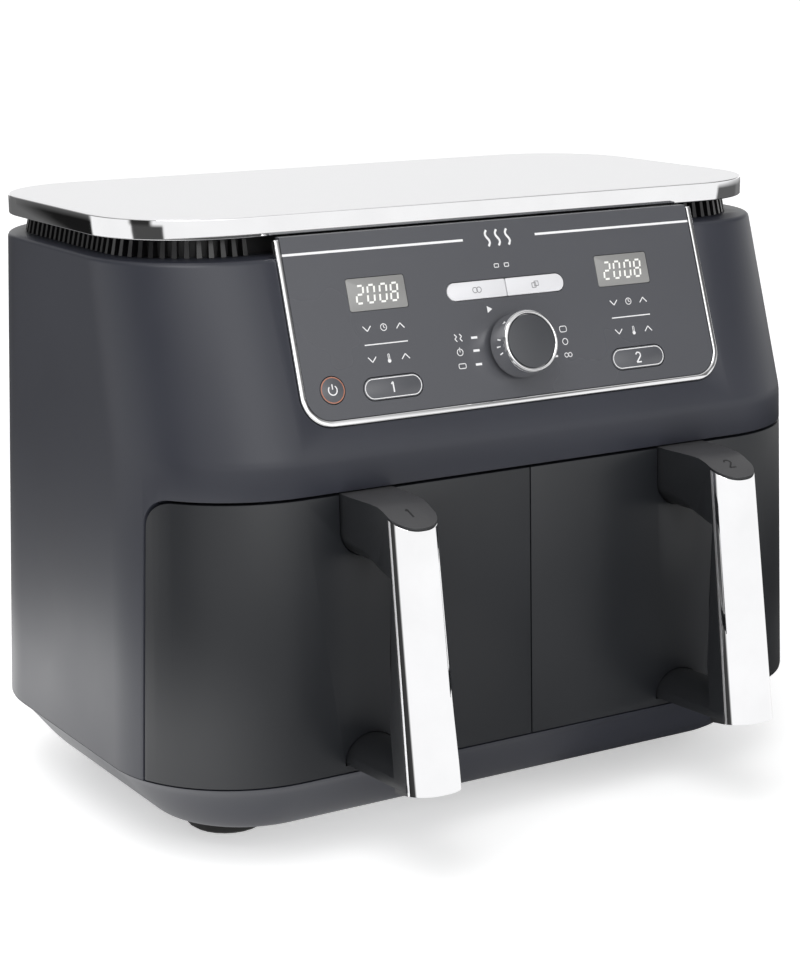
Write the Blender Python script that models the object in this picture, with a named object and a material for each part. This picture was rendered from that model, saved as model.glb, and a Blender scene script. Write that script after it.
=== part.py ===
"""A dual-zone air fryer: two side-by-side baskets that slide out under one tilted control panel.

Metres, +Z up, +X to the right and +Y to the back. The origin is at the middle of the footprint,
handles included, at the height of the surface that the feet stand on.
Run it with blender --background --python part.py, or from Blender's text editor.
"""

import math

import bmesh
import bpy
from mathutils import Matrix, Vector

# ---------------------------------------------------------------- driving dimensions
BODY_WIDTH = 0.415  # widest, at the seam between base and housing
BODY_DEPTH = 0.268  # the same seam, front to back, without the handles
BODY_HEIGHT = 0.325  # feet to lid
HANDLE_REACH = 0.0695  # how far the grips stand out in front of the body
BACK_REACH = 0.009  # how far the cord gland stands out behind it
SKIN = 0.003  # moulded wall of the housing and base
GAP = 0.0003  # between pieces that touch
SEAM = 0.0008  # visible joint between a drawer front and its neighbours

# heights of the body, from the feet up
FOOT_HEIGHT = 0.0151
BASE_HEIGHT = 0.0330
BROW_HEIGHT = 0.0172  # from the drawers' top seam to where the front starts to lean back
LID_HEIGHT = 0.010
VENT_HEIGHT = 0.0100

# plan of the body
PANEL_TILT = math.radians(19.0)
CREASE_EASE = 0.005  # half the height over which the front bends
FRONT_DRAFT = 0.0039
SIDE_DRAFT = 0.0070
BACK_DRAFT = 0.0153
FRONT_CORNER_LOW = 0.0703
FRONT_CORNER_TOP = 0.063  # the front corners tighten above the crease
BACK_CORNER_LOW = 0.0756
BACK_CORNER_TOP = 0.0658
CORNER_STEPS = 7
EDGE_ROUND = 0.0022

# base and feet
BASE_INSET = 0.0331
BASE_CORNER = 0.0472
FOOT_RADIUS = 0.0212
FOOT_SPREAD = 0.137
FOOT_FRONT = 0.086
FOOT_BACK = 0.052

# lid and vent band
LID_HALF_WIDTH_LESS = 0.0093  # narrower than the body on each side
LID_FRONT_SETBACK = 0.0452
LID_BACK_SETBACK = 0.0193
LID_CORNER = 0.0570
LID_EDGE = 0.0010
LID_SKIN = 0.003
VENT_RECESS = 0.0125
VENT_WALL = 0.003
VENT_RIB = 0.0016
VENT_PITCH = 0.016

# control panel, in the panel's own frame: across, up the slope from the crease, out of it
PANEL_HALF_TOP = 0.1280
PANEL_HALF_LOW = 0.1286
PANEL_LOW = 0.0150
PANEL_CORNER = 0.0165
TRIM_WIDTH = 0.0030
TRIM_PROUD = 0.0011
FASCIA_PROUD = 0.0005
FASCIA_THICKNESS = 0.0035
WINDOW_WIDTH = 0.0335
WINDOW_HEIGHT = 0.0165
WINDOW_LIFT = 0.0787
PANEL_HEADER = 0.0215625  # from the displays' middle up to where the slope ends
WINDOW_OFFSETS = (-0.0755, 0.0757)
WINDOW_DEPTH = 0.0016
BUTTON_TRAVEL = 0.0008
BUTTON_CLEARANCE = 0.0004
BUTTON_PROUD = 0.0007
BUTTON_FLANGE = 0.0010
BUTTON_FLANGE_THICKNESS = 0.0014
PILL_HALF_LENGTH = 0.0359
PILL_MIDDLE = 0.0010
PILL_HEIGHT = 0.0092
PILL_LIFT = 0.0753
POWER_RADIUS = 0.0068
POWER_PLACE = (-0.1100, 0.0331)
ZONE_LENGTH = 0.0340
ZONE_HEIGHT = 0.0114
ZONE_LIFT = 0.0312
ZONE_OFFSETS = (-0.0756, 0.0758)
DIAL_LIFT = 0.0443
DIAL_RADIUS = 0.0168
DIAL_HEIGHT = 0.0140
DIAL_TRAVEL = 0.0015
CAP_RADIUS = 0.0138
CAP_THICKNESS = 0.0018
SHAFT_RADIUS = 0.0030
ROTOR_RADIUS = 0.0050
ENCODER_SIZE = 0.0140
ENCODER_THICKNESS = 0.0050
BOARD_DEPTH = 0.0125  # from the panel's face to the face of the board behind it
BOARD_THICKNESS = 0.0016
BOARD_EDGE = 0.0089  # past the switches
SWITCH_SIZE = 0.0062
SWITCH_HEIGHT = 0.0036

# drawers
DRAWER_WRAP = 0.0466  # how far the drawer fronts go round the body's front corners
DRAWER_CORNER = 0.0135
DRAWER_PLATE = 0.012
DRAWER_SKIN = 0.0045
POST_HALF = 0.0065  # middle post between the two openings
LINER_WALL = 0.0012
LINER_SIDE_ROOM = 0.0185  # from the body's widest side to the liner's outside
LINER_BACK_ROOM = 0.0340
LINER_CORNER = 0.026
LINER_OVER_CREASE = 0.0209
BASKET_ROOM = 0.0035
BASKET_WALL = 0.0018
BASKET_RIM = 0.0030
BASKET_TAPER = 0.009
BASKET_CORNER = 0.044
BASKET_LOW_CORNER = 0.034
BASKET_TOP_ROOM = 0.0075  # from the rim to the drawers' top seam
BASKET_BACK_ROOM = 0.008
PLATE_LIFT = 0.0060
PLATE_THICKNESS = 0.0030
PLATE_ROOM = 0.0030
PLATE_HOLE = 0.0042
PLATE_PITCH = 0.024
PLATE_FOOT_RADIUS = 0.0050
PLATE_FOOT_INSET = 0.018

# handles
HANDLE_OFFSET = 0.0975
HANDLE_HALF_ROOT = 0.0151  # half the arm's width at the drawer
HANDLE_HALF_TOP = 0.0128
HANDLE_HALF_LOW = 0.0144
ROOT_STRAIGHT = 0.004  # how far an arm stands out before it narrows
HANDLE_LEAN = math.radians(8.8)
GRIP_LIFT = 0.0084  # the grip's end over the base seam
GRIP_DEPTH = 0.0245
NOSE_DROP = 0.0085  # the top face falls this much from the drawer to the nose
NOSE_SHARE = 0.92  # radius of the front edges, as a share of the half width
NOSE_FLAT = 0.0280  # length of the level stretch of the top face
ARM_HEIGHT = 0.033
ARM_RISE = 0.0015  # the underside comes up this much on its way to the grip
ARM_ROUND = 0.0135
ARM_SEAT = 0.003  # how deep an arm sits in its drawer front
ARM_SEAT_ROOM = 0.0006
INNER_ROUND = 0.012
TONGUE_HEIGHT = 0.0137
TONGUE_LIP = 0.0004  # straight part of its sides, below the arch
TONGUE_LIFT = 0.0054
TONGUE_RISE = 0.0030
WRAP_DEPTH = 0.0125
WRAP_THICKNESS = 0.0010
WRAP_CAP = 0.0016
SCREW_RADIUS = 0.0020
SCREW_HEAD = 0.0038
SCREW_HEAD_HEIGHT = 0.0024
SCREW_BITE = 0.010

# heater, fan and motor above each basket
ELEMENT_RADIUS = 0.0032
ELEMENT_LOOP = 0.066
ELEMENT_LOOP_STEP = 0.011
ELEMENT_DROP = 0.022
FAN_RADIUS = 0.056
FAN_DROP = 0.007
FAN_DISC = 0.0014
BLADE_HEIGHT = 0.009
BLADE_THICKNESS = 0.0012
BLADE_COUNT = 8
HUB_RADIUS = 0.0085
MOTOR_RADIUS = 0.029
MOTOR_HEIGHT = 0.042
MOTOR_SHAFT_RADIUS = 0.0025
RUNNING_ROOM = 0.0006

# back of the body
REAR_VENT_WIDTH = 0.150
REAR_VENT_HEIGHT = 0.046
REAR_VENT_DROP = 0.043  # below the housing's top
REAR_VENT_SLOTS = 7
REAR_VENT_SLOT = 0.0032
REAR_VENT_THICKNESS = 0.004
REAR_VENT_SUNK = 0.001
GLAND_RADIUS = 0.0085
GLAND_BORE = 0.0042
GLAND_FLANGE = 0.0125
GLAND_PLACE = (-0.115, 0.075)

# ---------------------------------------------------------------- derived places
FRONT_Y = HANDLE_REACH - (BODY_DEPTH + HANDLE_REACH + BACK_REACH) / 2
BACK_Y = FRONT_Y + BODY_DEPTH
HALF_WIDTH = BODY_WIDTH / 2
SEAM_Z = FOOT_HEIGHT + BASE_HEIGHT
LID_Z = BODY_HEIGHT - LID_HEIGHT
TOP_Z = LID_Z - VENT_HEIGHT
SLOPE_HEIGHT = (WINDOW_LIFT + PANEL_HEADER) * math.cos(PANEL_TILT)
CREASE_Z = TOP_Z - SLOPE_HEIGHT
DRAWER_TOP_Z = CREASE_Z - BROW_HEIGHT  # the drawers take the height that is left
CREASE_Y = FRONT_Y + FRONT_DRAFT
BAY_Y = FRONT_Y + DRAWER_WRAP
FAR = 1.0  # further than any piece reaches
ROUND_SIDES = 32
SMALL_SIDES = 16
SIDES = (("left", -1), ("right", 1))

LINER_IN = POST_HALF - SKIN / 2
LINER_OUT = HALF_WIDTH - LINER_SIDE_ROOM
LINER_FLOOR_Z = SEAM_Z + 0.003
LINER_TOP_Z = CREASE_Z + LINER_OVER_CREASE
LINER_FRONT_Y = BAY_Y + SKIN + GAP
LINER_BACK_Y = BACK_Y - LINER_BACK_ROOM
BASKET_IN = LINER_IN + LINER_WALL + BASKET_ROOM
BASKET_OUT = LINER_OUT - LINER_WALL - BASKET_ROOM
BASKET_FRONT_Y = FRONT_Y + DRAWER_PLATE + GAP
BASKET_BACK_Y = LINER_BACK_Y - LINER_WALL - BASKET_BACK_ROOM
BASKET_Z = LINER_FLOOR_Z + LINER_WALL + 0.0012
BASKET_TOP_Z = DRAWER_TOP_Z - BASKET_TOP_ROOM
DOORWAY_TOP_Z = BASKET_TOP_Z + BASKET_ROOM
PLATE_Z = BASKET_Z + BASKET_WALL + PLATE_LIFT
REAR_VENT_Z = TOP_Z - REAR_VENT_DROP
CAVITY_X = (LINER_IN + LINER_OUT) / 2
CAVITY_Y = (LINER_FRONT_Y + LINER_BACK_Y) / 2
BASKET_MIDDLE_Y = (BASKET_FRONT_Y + BASKET_BACK_Y) / 2
NOSE_TOP_Z = DRAWER_TOP_Z - NOSE_DROP
GRIP_BOTTOM = SEAM_Z + GRIP_LIFT
TONGUE_START = SEAM_Z + TONGUE_LIFT


# ---------------------------------------------------------------- modelling helpers
def clear_scene():
    for obj in list(bpy.data.objects):
        bpy.data.objects.remove(obj, do_unlink=True)


def finish_of(name, colour, roughness, metallic=0.0, alpha=1.0):
    """A Principled material, made once for each name."""
    made = bpy.data.materials.get(name)
    if made:
        return made
    made = bpy.data.materials.new(name)
    made.use_nodes = True
    made.diffuse_color = (*colour, 1.0)
    shader = made.node_tree.nodes["Principled BSDF"]
    shader.inputs["Base Color"].default_value = (*colour, 1.0)
    shader.inputs["Roughness"].default_value = roughness
    shader.inputs["Metallic"].default_value = metallic
    shader.inputs["Alpha"].default_value = alpha
    return made


def add(name, mesh, finish=None, parent=None, smooth_angle=None):
    """Put a mesh in the scene, with its origin at its parent's."""
    mesh.name = name
    obj = bpy.data.objects.new(name, mesh)
    bpy.context.scene.collection.objects.link(obj)
    if finish:
        mesh.materials.append(finish)
    if parent:
        obj.parent = parent
    if smooth_angle:
        mesh.shade_smooth()
        mesh.set_sharp_from_angle(angle=smooth_angle)
    return obj


def guide(name, mesh, parent=None):
    """A cutter, which isn't part of the object."""
    obj = add(name, mesh, parent=parent)
    obj.hide_render = True
    obj.display_type = "WIRE"
    return obj


def combine(obj, other, operation="DIFFERENCE"):
    modifier = obj.modifiers.new(f"{operation.lower()}_{other.name}", "BOOLEAN")
    modifier.operation = operation
    modifier.solver = "EXACT"
    modifier.object = other
    return obj


def axis_empty(name, location, rotation=(0, 0, 0)):
    """A marker on a joint's axis or at a sub-assembly's reference point."""
    empty = bpy.data.objects.new(name, None)
    empty.location = location
    empty.rotation_euler = rotation
    bpy.context.scene.collection.objects.link(empty)
    return empty


def hang(obj, empty):
    """Parent a piece built in world coordinates to an empty, leaving it where it is."""
    obj.parent = empty
    obj.matrix_parent_inverse = Matrix.LocRotScale(empty.location, empty.rotation_euler, None).inverted()
    return obj


def closed_mesh(bm):
    bmesh.ops.recalc_face_normals(bm, faces=bm.faces)
    mesh = bpy.data.meshes.new("solid")
    bm.to_mesh(mesh)
    bm.free()
    return mesh


def loft(rings, twisted=False):
    """A closed solid through rings with the same number of points, with both ends capped.
    Twisted sides are split into triangles, so that every cut with them agrees."""
    bm = bmesh.new()
    rows = [[bm.verts.new(point) for point in ring] for ring in rings]
    for low, high in zip(rows, rows[1:]):
        for i in range(len(low)):
            j = (i + 1) % len(low)
            if twisted:
                bm.faces.new((low[i], low[j], high[j]))
                bm.faces.new((low[i], high[j], high[i]))
            else:
                bm.faces.new((low[i], low[j], high[j], high[i]))
    bm.faces.new(reversed(rows[0]))
    bm.faces.new(rows[-1])
    return closed_mesh(bm)


def turned(profile, sides=ROUND_SIDES):
    """Turn (radius, height) points round Z. A profile that leaves the axis at both ends is a solid of
    revolution with a hole, and its last point joins its first."""
    bm = bmesh.new()
    rows = []
    for radius, height in profile:
        if radius == 0:
            rows.append([bm.verts.new((0, 0, height))] * sides)
        else:
            turn = [2 * math.pi * k / sides for k in range(sides)]
            rows.append([bm.verts.new((radius * math.cos(a), radius * math.sin(a), height)) for a in turn])
    pairs = list(zip(rows, rows[1:]))
    if profile[0][0] > 0:
        pairs.append((rows[-1], rows[0]))
    for low, high in pairs:
        for i in range(sides):
            j = (i + 1) % sides
            corners = list(dict.fromkeys((low[i], low[j], high[j], high[i])))
            bm.faces.new(corners)
    return closed_mesh(bm)


def rod(radius, low, high, sides=ROUND_SIDES):
    """A plain cylinder on Z."""
    return turned([(0, low), (radius, low), (radius, high), (0, high)], sides)


def arc(centre, radius, start, end, steps):
    """Points of an arc, angles in degrees."""
    angles = [math.radians(start + (end - start) * k / steps) for k in range(steps + 1)]
    return [(centre[0] + radius * math.cos(a), centre[1] + radius * math.sin(a)) for a in angles]


def rounded(x0, x1, y0, y1, radii, steps=CORNER_STEPS):
    """Rectangle with round corners. radii: front left, front right, back right, back left."""
    if not isinstance(radii, (tuple, list)):
        radii = (radii,) * 4
    low_left, low_right, high_right, high_left = radii
    points = arc((x0 + low_left, y0 + low_left), low_left, 180, 270, steps)
    points += arc((x1 - low_right, y0 + low_right), low_right, 270, 360, steps)
    points += arc((x1 - high_right, y1 - high_right), high_right, 0, 90, steps)
    points += arc((x0 + high_left, y1 - high_left), high_left, 90, 180, steps)
    return points


def at(outline, z):
    return [(x, y, z) for x, y in outline]


def prism(outline, z0, z1):
    return loft([at(outline, z0), at(outline, z1)])


def prism_along_x(outline, x0, x1):
    """Extrude a (y, z) outline along X."""
    return loft([[(x, y, z) for y, z in outline] for x in (x0, x1)])


def prism_along_y(outline, y0, y1):
    """Extrude an (x, z) outline along Y."""
    return loft([[(x, y, z) for x, z in outline] for y in (y0, y1)])


def block(low, high):
    (x0, y0, z0), (x1, y1, z1) = low, high
    return prism([(x0, y0), (x1, y0), (x1, y1), (x0, y1)], z0, z1)


def span(side, near, far):
    """The x range of something between two distances from the middle, on one side of it."""
    return sorted((side * near, side * far))


def moved(mesh, offset=(0, 0, 0), turn=None):
    matrix = Matrix.Translation(offset)
    mesh.transform(matrix @ turn if turn else matrix)
    return mesh


# ---------------------------------------------------------------- the body's outer surface
def share_of_height(z):
    return (z - SEAM_Z) / (TOP_Z - SEAM_Z)


def front_at(z):
    """Y of the body's front: nearly upright, then leaning back above the crease."""
    upright = FRONT_Y + FRONT_DRAFT * min(z - SEAM_Z, CREASE_Z - SEAM_Z) / (CREASE_Z - SEAM_Z)
    above = z - CREASE_Z
    if above <= -CREASE_EASE:
        return upright
    if above >= CREASE_EASE:
        return upright + above * math.tan(PANEL_TILT)
    return upright + (above + CREASE_EASE) ** 2 / (4 * CREASE_EASE) * math.tan(PANEL_TILT)


def body_outline(z, inset=0.0):
    share = share_of_height(z)
    half = HALF_WIDTH - SIDE_DRAFT * share - inset
    upper = max(0.0, (z - CREASE_Z) / (TOP_Z - CREASE_Z))
    front = FRONT_CORNER_LOW + (FRONT_CORNER_TOP - FRONT_CORNER_LOW) * upper - inset
    back = BACK_CORNER_LOW + (BACK_CORNER_TOP - BACK_CORNER_LOW) * share - inset
    corners = (front, front, back, back)
    return rounded(-half, half, front_at(z) + inset, BACK_Y - BACK_DRAFT * share - inset, corners)


def body_heights(low, high):
    """Heights to loft the body through, with three more across the bend of the front."""
    bend = [CREASE_Z + CREASE_EASE * k / 2 for k in range(-2, 3)]
    return [low] + [z for z in bend if low < z < high] + [high]


def body_solid(low, high, inset=0.0):
    return loft([at(body_outline(z, inset), z) for z in body_heights(low, high)])


def bay_profile(gap, back_extra=0.0, low=SEAM_Z - 0.05):
    """Side view of the space in front that the drawer fronts fill, shrunk by gap."""
    back = BAY_Y + back_extra - gap
    top = DRAWER_TOP_Z + back_extra - gap
    corner = DRAWER_CORNER + back_extra
    bend = arc((back - corner, top - corner), corner, 0, 90, CORNER_STEPS)
    return [(FRONT_Y - FAR, low), (back, low), *bend, (FRONT_Y - FAR, top)]


# ---------------------------------------------------------------- housing, base and feet
def liner_outline(side, inset, front):
    """Plan of a cavity liner: square at the front, round at the back."""
    x0, x1 = span(side, LINER_IN + inset, LINER_OUT - inset)
    corner = LINER_CORNER - inset
    return rounded(x0, x1, front, LINER_BACK_Y - inset, (0.0005, 0.0005, corner, corner))


def lid_outline(inset):
    half = HALF_WIDTH - LID_HALF_WIDTH_LESS - inset
    corner = max(LID_CORNER - inset, 0.004)
    front, back = FRONT_Y + LID_FRONT_SETBACK + inset, BACK_Y - LID_BACK_SETBACK - inset
    return rounded(-half, half, front, back, corner)


def make_housing(panel):
    rings = [at(body_outline(z), z) for z in body_heights(SEAM_Z + GAP, TOP_Z - EDGE_ROUND)]
    for turn in (30, 60, 90):
        drop = EDGE_ROUND * (1 - math.sin(math.radians(turn)))
        inset = EDGE_ROUND * (1 - math.cos(math.radians(turn)))
        rings.append(at(body_outline(TOP_Z - drop, inset), TOP_Z - drop))
    housing = add("main_housing", loft(rings), finish_of("housing", (0.045, 0.048, 0.058), 0.5))
    inside = guide("housing_inside", body_solid(SEAM_Z - 0.01, TOP_Z - SKIN, SKIN))
    lining = guide("bay_lining", prism_along_x(bay_profile(0, SKIN, SEAM_Z - 0.02), -FAR, FAR))
    combine(inside, lining)
    combine(housing, inside)
    combine(housing, guide("bay", prism_along_x(bay_profile(0), -FAR, FAR)))
    for name, side in SIDES:
        x0, x1 = span(side, LINER_IN + LINER_WALL, LINER_OUT - LINER_WALL)
        low = (x0, BAY_Y - DRAWER_CORNER, LINER_FLOOR_Z)
        high = (x1, BAY_Y + 2 * SKIN, DOORWAY_TOP_Z)
        combine(housing, guide(f"{name}_doorway", block(low, high)))
    mouth = prism(lid_outline(VENT_RECESS + 2 * VENT_WALL), TOP_Z - 0.02, TOP_Z + 0.01)
    combine(housing, guide("top_opening", mouth))
    pocket = prism(panel_outline(-GAP), -FASCIA_THICKNESS * 3, 0.02)
    combine(housing, guide("panel_pocket", pocket, panel))
    x = REAR_VENT_WIDTH / 2 + GAP
    z = REAR_VENT_HEIGHT / 2 + GAP
    low = (-x, BACK_Y - 0.03, REAR_VENT_Z - z)
    combine(housing, guide("rear_vent_hole", block(low, (x, BACK_Y + 0.01, REAR_VENT_Z + z))))
    bore = rod(GLAND_RADIUS + GAP, -0.03, 0.03, SMALL_SIDES)
    moved(bore, (GLAND_PLACE[0], BACK_Y, GLAND_PLACE[1]), Matrix.Rotation(math.pi / 2, 4, "X"))
    combine(housing, guide("gland_hole", bore))
    return housing


def base_ring(z, inset=0.0):
    """Ring of the base, whose side curves in towards the floor like a quarter ellipse."""
    drop = (SEAM_Z - z) / BASE_HEIGHT
    curve = 1 - math.sqrt(max(0.0, 1 - drop * drop))
    set_in = BASE_INSET * (0.7 * drop**0.75 + 0.3 * curve) + inset
    front = FRONT_CORNER_LOW + (BASE_CORNER - FRONT_CORNER_LOW) * drop - inset
    back = BACK_CORNER_LOW + (BASE_CORNER - BACK_CORNER_LOW) * drop - inset
    half = HALF_WIDTH - set_in
    return at(rounded(-half, half, FRONT_Y + set_in, BACK_Y - set_in, (front, front, back, back)), z)


def make_base():
    shares = (0, 0.25, 0.5, 0.7, 0.85, 0.95, 1)
    rings = [base_ring(SEAM_Z - BASE_HEIGHT * share) for share in shares]
    base = add("base_tray", loft(rings), finish_of("housing", (0.045, 0.048, 0.058), 0.5))
    deck_z = SEAM_Z - SKIN
    floor_z = FOOT_HEIGHT + SKIN
    hollow = loft([base_ring(z, SKIN * 1.6) for z in (deck_z, (deck_z + floor_z) / 2, floor_z)])
    combine(base, guide("base_hollow", hollow))
    half = LINER_OUT
    mouth = rounded(-half, half, LINER_FRONT_Y, LINER_BACK_Y, LINER_CORNER)
    combine(base, guide("base_mouth", prism(mouth, deck_z - 0.004, SEAM_Z + 0.01)))
    rubber = finish_of("rubber", (0.012, 0.012, 0.012), 0.8)
    for end, y in (("front", FRONT_Y + FOOT_FRONT), ("back", BACK_Y - FOOT_BACK)):
        for name, side in SIDES:
            top = FOOT_HEIGHT - GAP
            profile = [(0, 0), (FOOT_RADIUS * 0.9, 0), (FOOT_RADIUS, 0.0015), (FOOT_RADIUS, top), (0, top)]
            foot = moved(turned(profile, 24), (side * FOOT_SPREAD, y, 0))
            add(f"{end}_{name}_foot", foot, rubber, smooth_angle=math.radians(30))


def make_lid():
    z = LID_Z
    rings = [at(lid_outline(VENT_RECESS + 4 * VENT_WALL), z + LID_HEIGHT - LID_SKIN)]
    rings.append(at(lid_outline(VENT_RECESS + 4 * VENT_WALL), z))
    rings.append(at(lid_outline(LID_EDGE), z))
    rings.append(at(lid_outline(0), z + LID_EDGE))
    rings.append(at(lid_outline(0), z + LID_HEIGHT - LID_EDGE))
    rings.append(at(lid_outline(LID_EDGE * 0.3), z + LID_HEIGHT - LID_EDGE * 0.3))
    rings.append(at(lid_outline(LID_EDGE), z + LID_HEIGHT))
    metal = finish_of("lid_metal", (0.75, 0.75, 0.76), 0.25, 1.0)
    add("top_cover", loft(rings), metal, smooth_angle=math.radians(35))


def ribbed(outline, pitch, width, height):
    """An outline with small square ribs standing out of it at an even pitch."""
    points = [Vector(point) for point in outline]
    ribs = []
    for start, end in zip(points, points[1:] + points[:1]):
        length = (end - start).length
        count = int(length / pitch + 0.5)
        along = (end - start).normalized() if length else Vector((1, 0))
        out = Vector((along.y, -along.x)) * height
        ribs.append(start)
        for k in range(count):
            middle = start + along * length * (k + 0.5) / count
            near, far = middle - along * width / 2, middle + along * width / 2
            ribs += [near, near + out, far + out, far]
    return [tuple(point) for point in ribs]


def make_vent_band():
    inner = lid_outline(VENT_RECESS + VENT_WALL)
    outer = ribbed(lid_outline(VENT_RECESS), VENT_PITCH, VENT_PITCH / 2, VENT_RIB)
    black = finish_of("vent", (0.01, 0.01, 0.011), 0.5)
    band = add("vent_grille", prism(outer, TOP_Z + GAP, LID_Z - GAP), black)
    combine(band, guide("vent_inside", prism(inner, TOP_Z - 0.01, LID_Z + 0.01)))


def make_back():
    y = BACK_Y - BACK_DRAFT * share_of_height(REAR_VENT_Z)
    half, rise = REAR_VENT_WIDTH / 2, REAR_VENT_HEIGHT / 2
    low = (-half, y - REAR_VENT_THICKNESS - REAR_VENT_SUNK, REAR_VENT_Z - rise)
    plate = block(low, (half, y - REAR_VENT_SUNK, REAR_VENT_Z + rise))
    vent = add("rear_vent", plate, finish_of("vent", (0.01, 0.01, 0.011), 0.5))
    for k in range(REAR_VENT_SLOTS):
        z = REAR_VENT_Z + REAR_VENT_HEIGHT * ((k + 0.5) / REAR_VENT_SLOTS - 0.5)
        low = (-half * 0.92, y - 0.02, z - REAR_VENT_SLOT / 2)
        slot = block(low, (half * 0.92, y + 0.01, z + REAR_VENT_SLOT / 2))
        combine(vent, guide(f"rear_vent_slot_{k + 1}", slot))
    x, z = GLAND_PLACE
    wall_y = BACK_Y - BACK_DRAFT * share_of_height(z)
    tip = BACK_Y + BACK_REACH - wall_y
    seat = GAP * 2 + GLAND_FLANGE * BACK_DRAFT / (TOP_Z - SEAM_Z)  # clears the leaning wall
    profile = [
        (GLAND_BORE, -SKIN * 2),
        (GLAND_RADIUS, -SKIN * 2),
        (GLAND_RADIUS, seat),
        (GLAND_FLANGE, seat),
        (GLAND_FLANGE, seat + 0.0014),
        (GLAND_RADIUS, seat + 0.0024),
        (GLAND_BORE + 0.0015, tip),
        (GLAND_BORE, tip),
    ]
    gland = moved(turned(profile, SMALL_SIDES), (x, wall_y, z), Matrix.Rotation(-math.pi / 2, 4, "X"))
    add("cord_gland", gland, finish_of("rubber", (0.012, 0.012, 0.012), 0.8), smooth_angle=math.radians(30))


# ---------------------------------------------------------------- control panel, in its own frame
def panel_top():
    """How far up the slope the panel reaches: to just under the lid."""
    return (LID_Z - GAP - TRIM_PROUD - CREASE_Z) / math.cos(PANEL_TILT)


def panel_outline(inset, steps=CORNER_STEPS):
    """The panel widens a little downwards and has round lower corners."""
    top = panel_top() + min(inset, 0) * -1
    low = PANEL_LOW + inset
    corner = max(PANEL_CORNER - inset, 0.002)
    half_low, half_top = PANEL_HALF_LOW - inset, PANEL_HALF_TOP - inset
    left = arc((-half_low + corner, low + corner), corner, 180, 270, steps)
    right = arc((half_low - corner, low + corner), corner, 270, 360, steps)
    return [(-half_top, top), *left, *right, (half_top, top)]


def pill(x0, x1, middle, height, inset=0.0, left=True, right=True):
    """Outline of a bar with round ends, or with one square end."""
    low, high = middle - height / 2 + inset, middle + height / 2 - inset
    full, small = (high - low) / 2 - 0.00001, 0.0006
    left_radius, right_radius = (full if left else small), (full if right else small)
    corners = (left_radius, right_radius, right_radius, left_radius)
    return rounded(x0 + inset, x1 - inset, low, high, corners, 5)


def disc(centre, radius, sides=24):
    return arc(centre, radius, 0, 360 * (1 - 1 / sides), sides - 1)


def make_button(name, shape, finish, panel, fascia):
    """A sprung cap in the fascia, with a flange that keeps it in and a stem to its switch."""
    under = FASCIA_PROUD - FASCIA_THICKNESS - BUTTON_CLEARANCE
    flange_low = under - BUTTON_FLANGE_THICKNESS
    stem_low = SWITCH_HEIGHT - BOARD_DEPTH + BUTTON_TRAVEL + BUTTON_CLEARANCE
    cap, flange = shape(0), shape(-BUTTON_FLANGE)
    middle = Vector((sum(x for x, _ in cap) / len(cap), sum(y for _, y in cap) / len(cap)))
    stem = [tuple(middle + (Vector(point) - middle) * 0.3) for point in cap]
    rings = [at(stem, stem_low), at(stem, flange_low), at(flange, flange_low), at(flange, under)]
    rings += [at(cap, under), at(cap, BUTTON_PROUD - 0.0003), at(shape(0.0003), BUTTON_PROUD)]
    travel = axis_empty(f"{name}_travel", (0, 0, 0))
    travel.parent = panel
    add(name, loft(rings), finish, travel)
    hole = guide(f"{name}_hole", prism(shape(-BUTTON_CLEARANCE), -0.02, 0.02), panel)
    combine(fascia, hole)


def make_panel(panel):
    fascia_outline = panel_outline(TRIM_WIDTH + GAP)
    bottom = FASCIA_PROUD - FASCIA_THICKNESS
    glossy = finish_of("fascia", (0.1, 0.1, 0.105), 0.25)
    fascia = add("control_fascia", prism(fascia_outline, bottom, FASCIA_PROUD), glossy, panel)
    silver = finish_of("silver_trim", (0.8, 0.8, 0.8), 0.2, 1.0)
    trim = add("panel_trim", prism(panel_outline(0), bottom, TRIM_PROUD), silver, panel)
    combine(trim, guide("trim_inside", prism(trim_inside(), -0.02, 0.02), panel))
    glass = finish_of("display", (0.45, 0.46, 0.47), 0.2)
    for (name, _), x in zip(SIDES, WINDOW_OFFSETS):
        low, high = WINDOW_LIFT - WINDOW_HEIGHT / 2, WINDOW_LIFT + WINDOW_HEIGHT / 2
        window = rounded(x - WINDOW_WIDTH / 2, x + WINDOW_WIDTH / 2, low, high, 0.0012, 2)
        seat_z = FASCIA_PROUD - WINDOW_DEPTH
        add(f"{name}_display_window", prism(window, seat_z, FASCIA_PROUD), glass, panel)
        half = WINDOW_WIDTH / 2 + GAP
        room = rounded(x - half, x + half, low - GAP, high + GAP, 0.0015, 2)
        combine(fascia, guide(f"{name}_window_seat", prism(room, seat_z - GAP, 0.02), panel))
    satin = finish_of("button_silver", (0.7, 0.7, 0.7), 0.35, 0.6)
    dark = finish_of("button_dark", (0.09, 0.09, 0.095), 0.3)
    start, end = PILL_MIDDLE - PILL_HALF_LENGTH, PILL_MIDDLE + PILL_HALF_LENGTH
    half_gap = GAP

    def link_shape(inset):
        end = PILL_MIDDLE - half_gap + min(inset, 0)
        return pill(start, end, PILL_LIFT, PILL_HEIGHT, inset, right=False)

    def copy_shape(inset):
        return pill(PILL_MIDDLE + half_gap - min(inset, 0), end, PILL_LIFT, PILL_HEIGHT, inset, left=False)

    make_button("link_button", link_shape, satin, panel, fascia)
    make_button("copy_button", copy_shape, satin, panel, fascia)
    make_button("power_button", lambda inset: disc(POWER_PLACE, POWER_RADIUS - inset), dark, panel, fascia)
    for (name, _), x in zip(SIDES, ZONE_OFFSETS):
        x0, x1 = x - ZONE_LENGTH / 2, x + ZONE_LENGTH / 2
        shape = lambda inset, x0=x0, x1=x1: pill(x0, x1, ZONE_LIFT, ZONE_HEIGHT, inset)
        make_button(f"{name}_zone_button", shape, dark, panel, fascia)
    return fascia


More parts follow.
